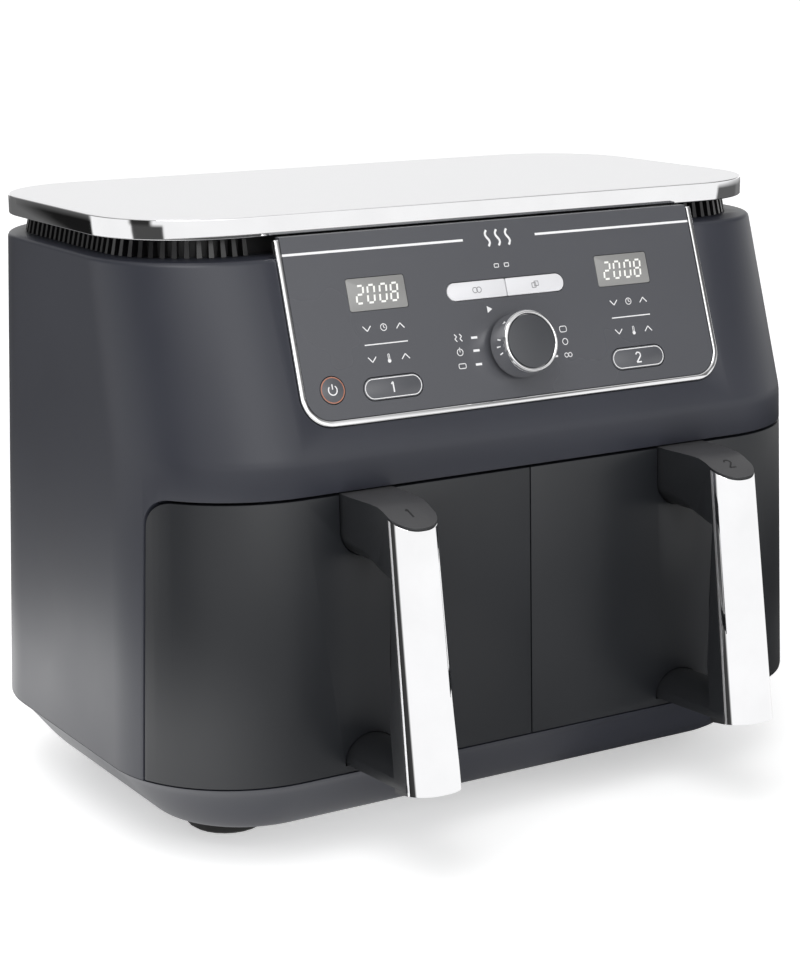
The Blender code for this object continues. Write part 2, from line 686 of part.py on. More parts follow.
def trim_inside():
    """The trim's inside outline, carried past its open top."""
    inside = panel_outline(TRIM_WIDTH)
    top = panel_top() + 0.01
    return [(inside[0][0], top), *inside[1:-1], (inside[-1][0], top)]


def make_board(panel):
    top = -BOARD_DEPTH
    outline = rounded(-0.120, 0.120, PANEL_LOW + 0.004, PILL_LIFT + SWITCH_SIZE / 2 + BOARD_EDGE, 0.003, 2)
    green = finish_of("circuit_board", (0.02, 0.09, 0.04), 0.5)
    board = add("control_board", prism(outline, top - BOARD_THICKNESS, top), green, panel)
    middles = [(PILL_MIDDLE + side * PILL_HALF_LENGTH / 2, PILL_LIFT) for side in (-1, 1)]
    middles += [POWER_PLACE] + [(x, ZONE_LIFT) for x in ZONE_OFFSETS]
    for k, (x, y) in enumerate(middles):
        low = (x - SWITCH_SIZE / 2, y - SWITCH_SIZE / 2, top - BOARD_THICKNESS / 2)
        high = (x + SWITCH_SIZE / 2, y + SWITCH_SIZE / 2, top + SWITCH_HEIGHT)
        combine(board, guide(f"switch_{k + 1}", block(low, high), panel), "UNION")
    bore = turned([(0, -0.03), (ROTOR_RADIUS + GAP, -0.03), (ROTOR_RADIUS + GAP, 0), (0, 0)], SMALL_SIDES)
    combine(board, guide("board_bore", moved(bore, (0, DIAL_LIFT, 0)), panel))
    return board


def make_dial(panel, fascia):
    """The dial turns with the encoder's rotor, and slides in it when it is pressed."""
    spin = axis_empty("dial_axis", (0, DIAL_LIFT, 0))
    spin.parent = panel
    low = FASCIA_PROUD + DIAL_TRAVEL + 2 * GAP
    high = low + DIAL_HEIGHT
    bore = SHAFT_RADIUS + GAP
    bore_top = high - 0.0045
    profile = [
        (bore, low),
        (DIAL_RADIUS * 0.97, low),
        (DIAL_RADIUS, low + 0.001),
        (DIAL_RADIUS * 0.965, high - 0.0016),
        (DIAL_RADIUS * 0.93, high - 0.0004),
        (CAP_RADIUS + GAP + 0.0006, high),
        (CAP_RADIUS + GAP, high - 0.0004),
        (CAP_RADIUS + GAP, high - CAP_THICKNESS - GAP),
        (0, high - CAP_THICKNESS - GAP),
    ]
    solid = turned([(0, bore_top), (bore, bore_top), *profile], 40)
    silver = finish_of("silver_trim", (0.8, 0.8, 0.8), 0.2, 1.0)
    add("dial_knob", solid, silver, spin, math.radians(35))
    cap_low, cap_high = high - CAP_THICKNESS, high - 0.0003
    edge = [(CAP_RADIUS, cap_high - 0.0004), (CAP_RADIUS - 0.0006, cap_high)]
    cap = turned([(0, cap_low), (CAP_RADIUS, cap_low), *edge, (0, cap_high)], 40)
    add("dial_cap", cap, finish_of("dial_dark", (0.05, 0.05, 0.055), 0.35), spin, math.radians(35))
    steel = finish_of("steel", (0.6, 0.6, 0.62), 0.3, 1.0)
    shaft_low = -BOARD_DEPTH - BOARD_THICKNESS - 0.002
    shaft_top = bore_top - GAP
    shaft = rod(SHAFT_RADIUS, shaft_low, shaft_top, SMALL_SIDES)
    add("dial_shaft", shaft, steel, spin, math.radians(35))
    encoder_low, encoder_high = -BOARD_DEPTH + GAP, -BOARD_DEPTH + ENCODER_THICKNESS
    half = ENCODER_SIZE / 2
    body = block((-half, -half, encoder_low), (half, half, encoder_high))
    encoder = add("encoder_body", body, finish_of("steel", (0.6, 0.6, 0.62), 0.3, 1.0), spin)
    seat = rod(ROTOR_RADIUS + GAP, encoder_low - 0.01, encoder_high + 0.01, 24)
    combine(encoder, guide("encoder_seat", seat, spin))
    bore, top = SHAFT_RADIUS + GAP, encoder_high + 0.001
    rotor = turned([(bore, encoder_low), (ROTOR_RADIUS, encoder_low), (ROTOR_RADIUS, top), (bore, top)], 24)
    dark = finish_of("dial_dark", (0.05, 0.05, 0.055), 0.35)
    add("encoder_rotor", rotor, dark, spin, math.radians(35))
    hole = rod(SHAFT_RADIUS + 0.001, -0.02, 0.02, SMALL_SIDES)
    combine(fascia, guide("dial_hole", hole, spin))


# ---------------------------------------------------------------- cavities, heaters and fans
def make_cavity(name, side):
    steel = finish_of("liner_steel", (0.45, 0.45, 0.46), 0.4, 1.0)
    outer = prism(liner_outline(side, 0, LINER_FRONT_Y), LINER_FLOOR_Z, LINER_TOP_Z)
    liner = add(f"{name}_cavity_liner", outer, steel)
    low, high = LINER_FLOOR_Z + LINER_WALL, LINER_TOP_Z - LINER_WALL
    inner = prism(liner_outline(side, LINER_WALL, LINER_FRONT_Y - 0.02), low, high)
    combine(liner, guide(f"{name}_liner_inside", inner))
    x, y = side * CAVITY_X, CAVITY_Y
    axis = axis_empty(f"{name}_fan_axis", (x, y, LINER_TOP_Z))
    hole_radius = MOTOR_SHAFT_RADIUS + 0.002
    hole = turned([(0, -0.01), (hole_radius, -0.01), (hole_radius, 0.01), (0, 0.01)], SMALL_SIDES)
    combine(liner, guide(f"{name}_shaft_hole", hole, axis))

    bore, motor_low = MOTOR_SHAFT_RADIUS + GAP, GAP
    motor_high = motor_low + MOTOR_HEIGHT
    motor = turned(
        [
            (0, motor_low + 0.026),
            (bore, motor_low + 0.026),
            (bore, motor_low),
            (MOTOR_RADIUS * 0.6, motor_low),
            (MOTOR_RADIUS * 0.6, motor_low + 0.006),
            (MOTOR_RADIUS, motor_low + 0.008),
            (MOTOR_RADIUS, motor_high - 0.004),
            (MOTOR_RADIUS * 0.8, motor_high),
            (0, motor_high),
        ],
        24,
    )
    add(f"{name}_fan_motor", motor, finish_of("motor", (0.3, 0.3, 0.32), 0.45, 0.8), axis, math.radians(30))

    fan_top = -LINER_WALL - FAN_DROP
    fan = turned(
        [
            (bore, fan_top - 0.006),
            (HUB_RADIUS, fan_top - 0.006),
            (HUB_RADIUS, fan_top - FAN_DISC),
            (FAN_RADIUS, fan_top - FAN_DISC),
            (FAN_RADIUS, fan_top),
            (bore, fan_top),
        ],
        ROUND_SIDES,
    )
    aluminium = finish_of("fan_metal", (0.6, 0.6, 0.6), 0.4, 1.0)
    wheel = add(f"{name}_convection_fan", fan, aluminium, axis)
    blades = bmesh.new()
    for k in range(BLADE_COUNT):
        blade = bmesh.new()
        low = (HUB_RADIUS + 0.006, -BLADE_THICKNESS / 2, fan_top - BLADE_HEIGHT)
        high = (FAN_RADIUS - 0.003, BLADE_THICKNESS / 2, fan_top - FAN_DISC / 2)
        blade.from_mesh(block(low, high))
        turn = Matrix.Rotation(2 * math.pi * k / BLADE_COUNT, 4, "Z")
        bmesh.ops.transform(blade, matrix=turn, verts=blade.verts)
        single = bpy.data.meshes.new("blade")
        blade.to_mesh(single)
        blade.free()
        blades.from_mesh(single)
    combine(wheel, guide(f"{name}_fan_blades", closed_mesh(blades), axis), "UNION")
    shaft_low, shaft_high = fan_top - 0.004, motor_low + 0.025
    rod = MOTOR_SHAFT_RADIUS
    shaft = turned([(0, shaft_low), (rod, shaft_low), (rod, shaft_high), (0, shaft_high)], SMALL_SIDES)
    add(f"{name}_fan_shaft", shaft, finish_of("steel", (0.6, 0.6, 0.62), 0.3, 1.0), axis, math.radians(35))
    make_element(name, axis)


def make_element(name, axis):
    """A sheathed rod wound in a flat spiral, with both ends brought up to the ceiling."""
    z = -LINER_WALL - ELEMENT_DROP
    per_turn = 20
    points = []
    for k in range(per_turn * 3 // 2 + 1):
        angle = 2 * math.pi * k / per_turn
        radius = ELEMENT_LOOP - ELEMENT_LOOP_STEP * k / per_turn
        points.append((radius * math.cos(angle), radius * math.sin(angle), z))
    rise = -LINER_WALL - 0.0012
    first, last = points[0], points[-1]
    points = [(first[0], first[1] - 0.004, rise), (first[0], first[1] - 0.003, z + 0.004), *points]
    points += [(last[0], last[1] - 0.004, z + 0.001), (last[0], last[1] - 0.008, z + 0.003)]
    curve = bpy.data.curves.new(f"{name}_heating_element", "CURVE")
    curve.dimensions = "3D"
    curve.bevel_depth = ELEMENT_RADIUS
    curve.bevel_resolution = 2
    curve.use_fill_caps = True
    spline = curve.splines.new("POLY")
    spline.points.add(len(points) - 1)
    for target, point in zip(spline.points, points):
        target.co = (*point, 1)
    curve.materials.append(finish_of("element", (0.25, 0.22, 0.2), 0.45, 0.9))
    obj = bpy.data.objects.new(f"{name}_heating_element", curve)
    obj.parent = axis
    bpy.context.scene.collection.objects.link(obj)


# ---------------------------------------------------------------- drawers
def make_drawer_front(name, side, slide):
    z0, z1 = SEAM_Z + SEAM, DRAWER_TOP_Z - SEAM
    front = add(f"{name}_drawer_front", body_solid(z0, z1), finish_of("drawer", (0.035, 0.037, 0.041), 0.5))
    x0, x1 = span(side, SEAM / 2, FAR)
    keep = guide(f"{name}_front_keep", prism_along_x(bay_profile(SEAM), x0, x1))
    combine(front, keep, "INTERSECT")
    hollow = body_solid(SEAM_Z - 0.01, DRAWER_TOP_Z + 0.01, DRAWER_SKIN)
    hollow = guide(f"{name}_front_hollow", hollow)
    x0, x1 = span(side, SEAM / 2 + DRAWER_SKIN, FAR)
    behind = block((x0, FRONT_Y + DRAWER_PLATE, SEAM_Z - 0.02), (x1, BACK_Y, DRAWER_TOP_Z + 0.02))
    combine(hollow, guide(f"{name}_front_behind", behind), "INTERSECT")
    combine(front, hollow)
    inner_x0, inner_x1 = span(side, -0.01, SEAM / 2 + DRAWER_SKIN + 0.001)
    low = (inner_x0, FRONT_Y + DRAWER_PLATE, SEAM_Z - 0.02)
    combine(front, guide(f"{name}_front_inner_edge", block(low, (inner_x1, BACK_Y, DRAWER_TOP_Z + 0.02))))
    hang(front, slide)
    return front


def basket_ring(side, z, inset=0.0):
    """Ring of a basket, which narrows towards its floor."""
    share = (BASKET_TOP_Z - z) / (BASKET_TOP_Z - BASKET_Z)
    taper = BASKET_TAPER * share + inset
    corner = BASKET_CORNER + (BASKET_LOW_CORNER - BASKET_CORNER) * share - inset
    x0, x1 = span(side, BASKET_IN + BASKET_RIM + taper, BASKET_OUT - BASKET_RIM - taper)
    return at(rounded(x0, x1, BASKET_FRONT_Y + BASKET_RIM + taper, BASKET_BACK_Y - taper, corner), z)


def make_basket(name, side, slide):
    rounding = 0.008
    inside = [
        basket_ring(side, BASKET_Z + BASKET_WALL, BASKET_WALL + rounding),
        basket_ring(side, BASKET_Z + BASKET_WALL + rounding * 0.3, BASKET_WALL + rounding * 0.3),
        basket_ring(side, BASKET_Z + BASKET_WALL + rounding, BASKET_WALL),
        basket_ring(side, BASKET_TOP_Z, BASKET_WALL),
    ]
    rim_low = BASKET_TOP_Z - BASKET_WALL
    outside = [
        basket_ring(side, BASKET_TOP_Z, -BASKET_RIM + GAP),
        basket_ring(side, rim_low, -BASKET_RIM + GAP),
        basket_ring(side, rim_low, 0),
        basket_ring(side, BASKET_Z + rounding, 0),
        basket_ring(side, BASKET_Z + rounding * 0.3, rounding * 0.3),
        basket_ring(side, BASKET_Z, rounding),
    ]
    nonstick = finish_of("nonstick", (0.03, 0.03, 0.032), 0.35, 0.3)
    basket = add(f"{name}_basket", loft(inside + outside), nonstick)
    hang(basket, slide)


def make_plate(name, side, slide):
    """A raised tray with rows of holes, standing on four soft feet."""
    lift = axis_empty(f"{name}_plate_axis", (side * CAVITY_X, BASKET_MIDDLE_Y, PLATE_Z))
    outer = basket_ring(side, PLATE_Z, BASKET_WALL + PLATE_ROOM)
    upper = [(x, y, PLATE_Z + PLATE_THICKNESS) for x, y, _ in outer]
    nonstick = finish_of("nonstick", (0.03, 0.03, 0.032), 0.35, 0.3)
    plate = add(f"{name}_crisper_plate", loft([outer, upper]), nonstick)
    x0, x1 = min(p[0] for p in outer), max(p[0] for p in outer)
    y0, y1 = min(p[1] for p in outer), max(p[1] for p in outer)
    columns = int((x1 - x0 - 0.030) / PLATE_PITCH)
    rows = int((y1 - y0 - 0.030) / PLATE_PITCH)
    holes = bmesh.new()
    for i in range(columns):
        for j in range(rows):
            x = (x0 + x1) / 2 + PLATE_PITCH * (i - (columns - 1) / 2)
            y = (y0 + y1) / 2 + PLATE_PITCH * (j - (rows - 1) / 2)
            holes.from_mesh(prism(disc((x, y), PLATE_HOLE, 6), PLATE_Z - 0.01, PLATE_Z + 0.02))
    combine(plate, guide(f"{name}_plate_holes", closed_mesh(holes)))
    hang(plate, lift)
    soft = finish_of("silicone", (0.02, 0.02, 0.02), 0.7)
    low, high = BASKET_Z + BASKET_WALL + GAP, PLATE_Z - GAP
    corners = [(x, y) for y in (y0, y1) for x in (x0, x1)]
    for k, (x, y) in enumerate(corners):
        x += PLATE_FOOT_INSET if x == x0 else -PLATE_FOOT_INSET
        y += PLATE_FOOT_INSET if y == y0 else -PLATE_FOOT_INSET
        profile = [(0, low), (PLATE_FOOT_RADIUS * 0.85, low), (PLATE_FOOT_RADIUS, high), (0, high)]
        foot = moved(turned(profile, 12), (x, y, 0))
        foot = add(f"{name}_plate_foot_{k + 1}", foot, soft, smooth_angle=math.radians(35))
        hang(foot, lift)


# ---------------------------------------------------------------- handles
def nose_y(z):
    """Y of the grip's foremost line, which leans outwards towards its foot."""
    return FRONT_Y - HANDLE_REACH + (z - GRIP_BOTTOM) * math.tan(HANDLE_LEAN)


def grip_half(z):
    """Half the grip's width, which grows towards its foot."""
    share = (DRAWER_TOP_Z - z) / (DRAWER_TOP_Z - GRIP_BOTTOM)
    return HANDLE_HALF_TOP + (HANDLE_HALF_LOW - HANDLE_HALF_TOP) * share


def arm_root_y():
    """Y where the top arm ends, seated in the drawer front."""
    return front_at(DRAWER_TOP_Z) + ARM_SEAT


def nose_solid(side, inset, low, high):
    """A leaning bar with the grip's plan: round at the front, widening back to the drawer."""
    middle = side * HANDLE_OFFSET
    root = HANDLE_HALF_ROOT - inset
    straight, back = FRONT_Y - ROOT_STRAIGHT, FRONT_Y + 0.03
    rings = []
    for z in (low, high):
        half = grip_half(z) - inset
        nose = NOSE_SHARE * grip_half(z) - inset
        front = nose_y(z) + inset
        left = arc((middle - half + nose, front + nose), nose, 180, 270, CORNER_STEPS)
        right = arc((middle + half - nose, front + nose), nose, 270, 360, CORNER_STEPS)
        x0, x1 = middle - root, middle + root
        tail = [(x1, straight), (x1, back), (x0, back), (x0, straight)]
        rings.append(at([*left, *right, *tail], z))
    return loft(rings, twisted=True)


def grip_profile():
    """Side view of the top arm and the grip, as (y, z) points."""
    top = DRAWER_TOP_Z - SEAM
    low = DRAWER_TOP_Z - ARM_HEIGHT
    foot_back = GRIP_BOTTOM - GRIP_DEPTH * math.tan(HANDLE_LEAN)
    bend_z = low + ARM_RISE - INNER_ROUND
    bend_y = nose_y(bend_z) + GRIP_DEPTH + INNER_ROUND
    return [
        (arm_root_y(), top),
        (FRONT_Y - NOSE_FLAT, top),
        (nose_y(NOSE_TOP_Z), NOSE_TOP_Z),
        (nose_y(GRIP_BOTTOM), GRIP_BOTTOM),
        (nose_y(foot_back) + GRIP_DEPTH, foot_back),
        *arc((bend_y, bend_z), INNER_ROUND, 180 - math.degrees(HANDLE_LEAN), 90, 5),
        (arm_root_y(), low),
    ]


def arm_section(side, room=0.0):
    """The top arm's cross-section where it meets the drawer: flat on top, round below."""
    middle = side * HANDLE_OFFSET
    half = HANDLE_HALF_ROOT + room
    low = DRAWER_TOP_Z - ARM_HEIGHT - room
    corner = ARM_ROUND + room
    return rounded(middle - half, middle + half, low, DRAWER_TOP_Z + 0.02, (corner, corner, 0.001, 0.001))


def tongue_section(side, low, room=0.0):
    """The lower arm's cross-section: an arch with a flat underside."""
    middle = side * HANDLE_OFFSET
    half = HANDLE_HALF_ROOT + room
    turn = [math.radians(angle) for angle in range(0, 181, 15)]
    height = TONGUE_HEIGHT + room
    arch = [(middle + half * math.cos(a), low + height * math.sin(a)) for a in turn]
    base = low - room - TONGUE_LIP
    return [*arch, (middle - half, base), (middle + half, base)]


def wrap_profile(gap):
    """Side view of the metal strip round the front of the grip, carried past the grip's front."""
    low, high = GRIP_BOTTOM + gap, NOSE_TOP_Z - WRAP_CAP - gap
    fall = NOSE_DROP / (FRONT_Y - NOSE_FLAT - nose_y(NOSE_TOP_Z))
    lean = math.tan(HANDLE_LEAN)
    past, back = 0.01, WRAP_DEPTH - gap
    return [
        (nose_y(low) - past, low + past * lean),
        (nose_y(low) + back, low - back * lean),
        (nose_y(high) + back, high + back * fall),
        (nose_y(high) - past, high - past * fall),
    ]


def make_handle(name, side, slide, front):
    plastic = finish_of("handle", (0.05, 0.05, 0.055), 0.4)
    middle = side * HANDLE_OFFSET
    x0, x1 = middle - HANDLE_HALF_ROOT - 0.01, middle + HANDLE_HALF_ROOT + 0.01
    handle = add(f"{name}_handle", prism_along_x(grip_profile(), x0, x1), plastic)
    low, high = GRIP_BOTTOM - 0.02, DRAWER_TOP_Z + 0.02
    combine(handle, guide(f"{name}_grip_plan", nose_solid(side, 0, low, high)), "INTERSECT")

    root_y = arm_root_y()
    arm_low = (x0, FRONT_Y - NOSE_FLAT, DRAWER_TOP_Z - ARM_HEIGHT - 0.001)
    underside = guide(f"{name}_arm_underside", block(arm_low, (x1, root_y + 0.01, DRAWER_TOP_Z + 0.001)))
    section = prism_along_y(arm_section(side), FRONT_Y - HANDLE_REACH, root_y + 0.02)
    combine(underside, guide(f"{name}_arm_section", section))
    combine(handle, underside)

    seat_y = front_at(TONGUE_START) + ARM_SEAT
    tongue_end = nose_y(GRIP_BOTTOM) + GRIP_DEPTH / 2
    rings = []
    for y, z in ((seat_y, TONGUE_START), (tongue_end, TONGUE_START + TONGUE_RISE)):
        rings.append([(x, y, height) for x, height in tongue_section(side, z)])
    combine(handle, guide(f"{name}_tongue", loft(rings)), "UNION")

    channel = guide(f"{name}_wrap_channel", prism_along_x(wrap_profile(-GAP), x0, x1))
    combine(channel, guide(f"{name}_wrap_core", nose_solid(side, WRAP_THICKNESS + GAP, low, high)))
    combine(handle, channel)
    chrome = finish_of("chrome", (0.85, 0.85, 0.86), 0.06, 1.0)
    wrap = add(f"{name}_handle_wrap", nose_solid(side, 0, low, high), chrome)
    combine(wrap, guide(f"{name}_wrap_inside", nose_solid(side, WRAP_THICKNESS, low - 0.01, high + 0.01)))
    combine(wrap, guide(f"{name}_wrap_span", prism_along_x(wrap_profile(0), x0, x1)), "INTERSECT")

    pocket_y0, pocket_y1 = FRONT_Y - 0.01, root_y + GAP
    pocket = prism_along_y(arm_section(side, ARM_SEAT_ROOM), pocket_y0, pocket_y1)
    combine(front, guide(f"{name}_arm_pocket", pocket))
    foot_pocket = tongue_section(side, TONGUE_START, ARM_SEAT_ROOM)
    combine(front, guide(f"{name}_tongue_pocket", prism_along_y(foot_pocket, pocket_y0, seat_y + GAP)))
    hang(handle, slide)
    hang(wrap, slide)
    steel = finish_of("steel", (0.6, 0.6, 0.62), 0.3, 1.0)
    heights = (("upper", DRAWER_TOP_Z - ARM_HEIGHT / 2), ("lower", TONGUE_START + TONGUE_HEIGHT * 0.42))
    for level, z in heights:
        back_y = FRONT_Y + DRAWER_PLATE
        head_y = back_y - SCREW_HEAD_HEIGHT - GAP
        tip_y = front_at(z) - SCREW_BITE
        tools = []
        for room in (0, GAP):
            shank, head = SCREW_RADIUS + room, SCREW_HEAD + room
            tip = tip_y - room
            profile = [(0, -tip), (shank, -tip), (shank, -head_y + room), (head, -head_y + room)]
            end = -head_y - SCREW_HEAD_HEIGHT - room * 20
            profile += [(head, end), (0, end)]
            tools.append(moved(turned(profile, 12), (middle, 0, z), Matrix.Rotation(math.pi / 2, 4, "X")))
        screw = add(f"{name}_handle_screw_{level}", tools[0], steel, smooth_angle=math.radians(35))
        hang(screw, slide)
        hole = guide(f"{name}_screw_hole_{level}", tools[1])
        combine(handle, hole)
        combine(front, hole)


def main():
    clear_scene()
    panel = axis_empty("panel_frame", (0, CREASE_Y, CREASE_Z), (math.pi / 2 - PANEL_TILT, 0, 0))
    make_housing(panel)
    make_base()
    make_lid()
    make_vent_band()
    make_back()
    fascia = make_panel(panel)
    make_board(panel)
    make_dial(panel, fascia)
    for name, side in SIDES:
        make_cavity(name, side)
        slide = axis_empty(f"{name}_drawer_slide", (side * CAVITY_X, FRONT_Y, BASKET_Z))
        front = make_drawer_front(name, side, slide)
        make_basket(name, side, slide)
        make_plate(name, side, slide)
        make_handle(name, side, slide, front)


main()
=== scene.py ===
"""A two-drawer air fryer: fine surfaces, materials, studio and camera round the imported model."""

import math

import bmesh
import bpy
from mathutils import Matrix, Vector


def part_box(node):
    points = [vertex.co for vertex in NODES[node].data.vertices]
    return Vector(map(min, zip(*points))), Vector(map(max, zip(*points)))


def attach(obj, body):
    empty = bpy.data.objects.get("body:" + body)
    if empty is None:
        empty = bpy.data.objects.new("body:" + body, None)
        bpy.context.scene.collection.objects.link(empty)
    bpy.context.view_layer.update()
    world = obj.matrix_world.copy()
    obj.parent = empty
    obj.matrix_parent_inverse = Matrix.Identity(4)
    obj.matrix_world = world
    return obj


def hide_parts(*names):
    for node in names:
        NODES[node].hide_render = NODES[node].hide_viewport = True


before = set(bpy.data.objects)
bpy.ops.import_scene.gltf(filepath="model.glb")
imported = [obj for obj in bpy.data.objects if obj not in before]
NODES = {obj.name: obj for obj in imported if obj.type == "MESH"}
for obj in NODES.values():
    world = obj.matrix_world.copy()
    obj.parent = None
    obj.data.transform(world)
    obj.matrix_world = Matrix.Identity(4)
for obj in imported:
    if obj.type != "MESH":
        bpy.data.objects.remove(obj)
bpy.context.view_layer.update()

# ---------------------------------------------------------------- sizes, in metres
SIDES = (("left", -1), ("right", 1))
GAP = 0.0003
SEAM = 0.0008
base_low, base_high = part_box("base_tray")
lid_low, lid_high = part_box("top_cover")
FRONT, BACK, HALF = base_low.y, base_high.y, base_high.x
FOOT_Z, SEAM_Z = base_low.z, base_high.z
LID_Z, LID_TOP = lid_low.z, lid_high.z
TOP_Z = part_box("main_housing")[1].z
DRAWER_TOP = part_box("left_drawer_front")[1].z + SEAM
CREASE_Z = DRAWER_TOP + 0.0172
TILT = math.radians(19.0)
CREASE_EASE = 0.0028
FRONT_DRAFT, SIDE_DRAFT, BACK_DRAFT = 0.0039, 0.0070, 0.0153
FRONT_CORNER = (0.0703, 0.063)
BACK_CORNER = (0.0756, 0.0658)
BASE_INSET, BASE_CORNER = 0.0331, 0.0472
CREASE_Y = FRONT + FRONT_DRAFT
WRAP = 0.0466
BAY_Y = FRONT + WRAP
DRAWER_CORNER = 0.0135
DRAWER_PLATE, DRAWER_SKIN = 0.012, 0.0045
LID_HALF, LID_CORNER = lid_high.x, 0.0570
SKIN = 0.003

PANEL_LOW, PANEL_HALF_TOP, PANEL_HALF_LOW = 0.0150, 0.1280, 0.1286
PANEL_CORNER, TRIM_WIDTH, TRIM_PROUD, FACE = 0.0165, 0.0030, 0.0011, 0.0005
PANEL_TOP = (LID_Z - GAP - TRIM_PROUD - CREASE_Z) / math.cos(TILT)
WINDOW = (0.0335, 0.0165)
WINDOW_X, WINDOW_S = (-0.0755, 0.0757), 0.0787
PILL_HALF, PILL_MIDDLE, PILL_HEIGHT, PILL_S = 0.0359, 0.0010, 0.0092, 0.0753
POWER, POWER_RADIUS = (-0.1100, 0.0331), 0.0068
ZONE_X, ZONE_S = (-0.0756, 0.0758), 0.0312
ZONE_LENGTH, ZONE_HEIGHT = 0.0340, 0.0114
BUTTON_PROUD = 0.0007
KEY_PRINT = BUTTON_PROUD - 0.0001
DIAL_S, DIAL_RADIUS, DIAL_HEIGHT, CAP_RADIUS = 0.0443, 0.0168, 0.0140, 0.0138
DIAL_LOW = FACE + 0.0015 + 2 * GAP

HANDLE_X, HANDLE_LEAN = 0.0975, math.radians(8.8)
HANDLE_REACH, GRIP_BOTTOM, GRIP_DEPTH = 0.0695, SEAM_Z + 0.0084, 0.0245
HALF_ROOT, HALF_TOP, HALF_LOW, NOSE_SHARE, ROOT_STRAIGHT = 0.0151, 0.0128, 0.0144, 0.92, 0.004
NOSE_DROP, NOSE_FLAT = 0.0085, 0.0280
ARM_HEIGHT, ARM_RISE, ARM_ROUND, ARM_SEAT, ARM_ROOM = 0.033, 0.0015, 0.0135, 0.003, 0.0006
INNER_ROUND = 0.012
TONGUE_Z, TONGUE_HEIGHT, TONGUE_RISE = SEAM_Z + 0.0054, 0.0137, 0.0030
WRAP_DEPTH, WRAP_THICKNESS, WRAP_CAP = 0.0125, 0.0010, 0.0016
NOSE_TOP = DRAWER_TOP - NOSE_DROP

PANEL = Matrix.Translation((0, CREASE_Y, CREASE_Z)) @ Matrix.Rotation(math.pi / 2 - TILT, 4, "X")

# the studio's grey levels in reflections, as (degrees from the front, level)
TOP_LEVEL = 0.7
STRIP_FLAGS = ((-180, 1.0), (-140, 1.0), (-138, 0.02), (-99, 0.05), (-96, 0.35), (-90, 1.0), (132, 1.0),
               (135, 0.25), (140, 0.25), (143, 1.0))
LOW_FLAGS = ((-180, 0.14), (-160, 0.14), (-158, 0.01), (-147, 0.01), (-144, 1.0), (-89, 1.0), (-87, 0.07),
             (-55, 0.07), (-53, 1.0), (62, 1.0), (66, 0.12), (104, 0.12), (112, 0.2), (180, 0.15))
MIDDLE_FLAGS = ((-180, 0.15), (-150, 0.15), (-144, 1.0), (-92, 1.0), (-88, 0.03), (-68, 0.03), (-64, 1.0),
                (5, 1.0), (100, 1.0), (125, 1.25), (170, 1.25), (180, 0.3))
HIGH_FLAGS = ((-180, 0.6), (-150, 0.1), (-90, 0.1), (-45, 0.6), (-24, 0.8), (-14, 3.1), (5, 3.1), (22, 1.6),
              (30, 1.25), (38, 0.2), (60, 0.05), (110, 0.05), (135, 0.85), (165, 0.85))
# the mirrored floor's glow, by metres from the middle and by degrees round it
NEAR_FLOOR = ((0.16, 0.3), (0.27, 0.65), (0.36, 0.95), (0.48, 0.3), (0.65, 0.18), (0.85, 0.1), (1.0, 0.08))
NEAR_TURN = ((-180, 0.6), (-150, 0.75), (-60, 0.8), (-25, 0.25), (5, 0.3), (29, 0.28), (38, 0.1),
             (60, 0.05), (110, 0.06), (160, 0.4))


# ---------------------------------------------------------------- modelling helpers
def arc(centre, radius, start, end, steps):
    turn = [math.radians(start + (end - start) * k / steps) for k in range(steps + 1)]
    return [(centre[0] + radius * math.cos(a), centre[1] + radius * math.sin(a)) for a in turn]


def rounded(x0, x1, y0, y1, radii, steps=16):
    """Rectangle with round corners. radii: front left, front right, back right, back left."""
    if not isinstance(radii, tuple):
        radii = (radii,) * 4
    a, b, c, d = radii
    points = arc((x0 + a, y0 + a), a, 180, 270, steps) + arc((x1 - b, y0 + b), b, 270, 360, steps)
    return points + arc((x1 - c, y1 - c), c, 0, 90, steps) + arc((x0 + d, y1 - d), d, 90, 180, steps)


def at(outline, z):
    return [(x, y, z) for x, y in outline]


def closed(bm):
    bmesh.ops.recalc_face_normals(bm, faces=bm.faces)
    mesh = bpy.data.meshes.new("piece")
    bm.to_mesh(mesh)
    bm.free()
    return mesh


def loft(rings, caps=True):
    bm = bmesh.new()
    rows = [[bm.verts.new(p) for p in ring] for ring in rings]
    for low, high in zip(rows, rows[1:]):
        for i in range(len(low)):
            j = (i + 1) % len(low)
            bm.faces.new((low[i], low[j], high[j], high[i]))
    if caps:
        bm.faces.new(reversed(rows[0]))
        bm.faces.new(rows[-1])
    return closed(bm)


def turned(profile, sides=96):
    """Turn (radius, height) points round Z; a profile off the axis at both ends joins up."""
    bm = bmesh.new()
    rows = []
    for radius, height in profile:
        if radius == 0:
            rows.append([bm.verts.new((0, 0, height))] * sides)
        else:
            turn = [2 * math.pi * k / sides for k in range(sides)]
            rows.append([bm.verts.new((radius * math.cos(a), radius * math.sin(a), height)) for a in turn])
    pairs = list(zip(rows, rows[1:]))
    if profile[0][0] > 0:
        pairs.append((rows[-1], rows[0]))
    for low, high in pairs:
        for i in range(sides):
            j = (i + 1) % sides
            ring = [v for k, v in enumerate((low[i], low[j], high[j], high[i]))]
            face = [v for k, v in enumerate(ring) if v not in ring[:k]]
            if len(face) > 2:
                bm.faces.new(face)
    return closed(bm)


def along_x(outline, x0, x1):
    return loft([[(x, y, z) for y, z in outline] for x in (x0, x1)])


def along_y(outline, y0, y1):
    return loft([[(x, y, z) for x, z in outline] for y in (y0, y1)])


def prism(outline, z0, z1):
    return loft([at(outline, z0), at(outline, z1)])


def block(low, high):
    (x0, y0, z0), (x1, y1, z1) = low, high
    return prism([(x0, y0), (x1, y0), (x1, y1), (x0, y1)], z0, z1)


def moved(mesh, matrix):
    mesh.transform(matrix)
    return mesh


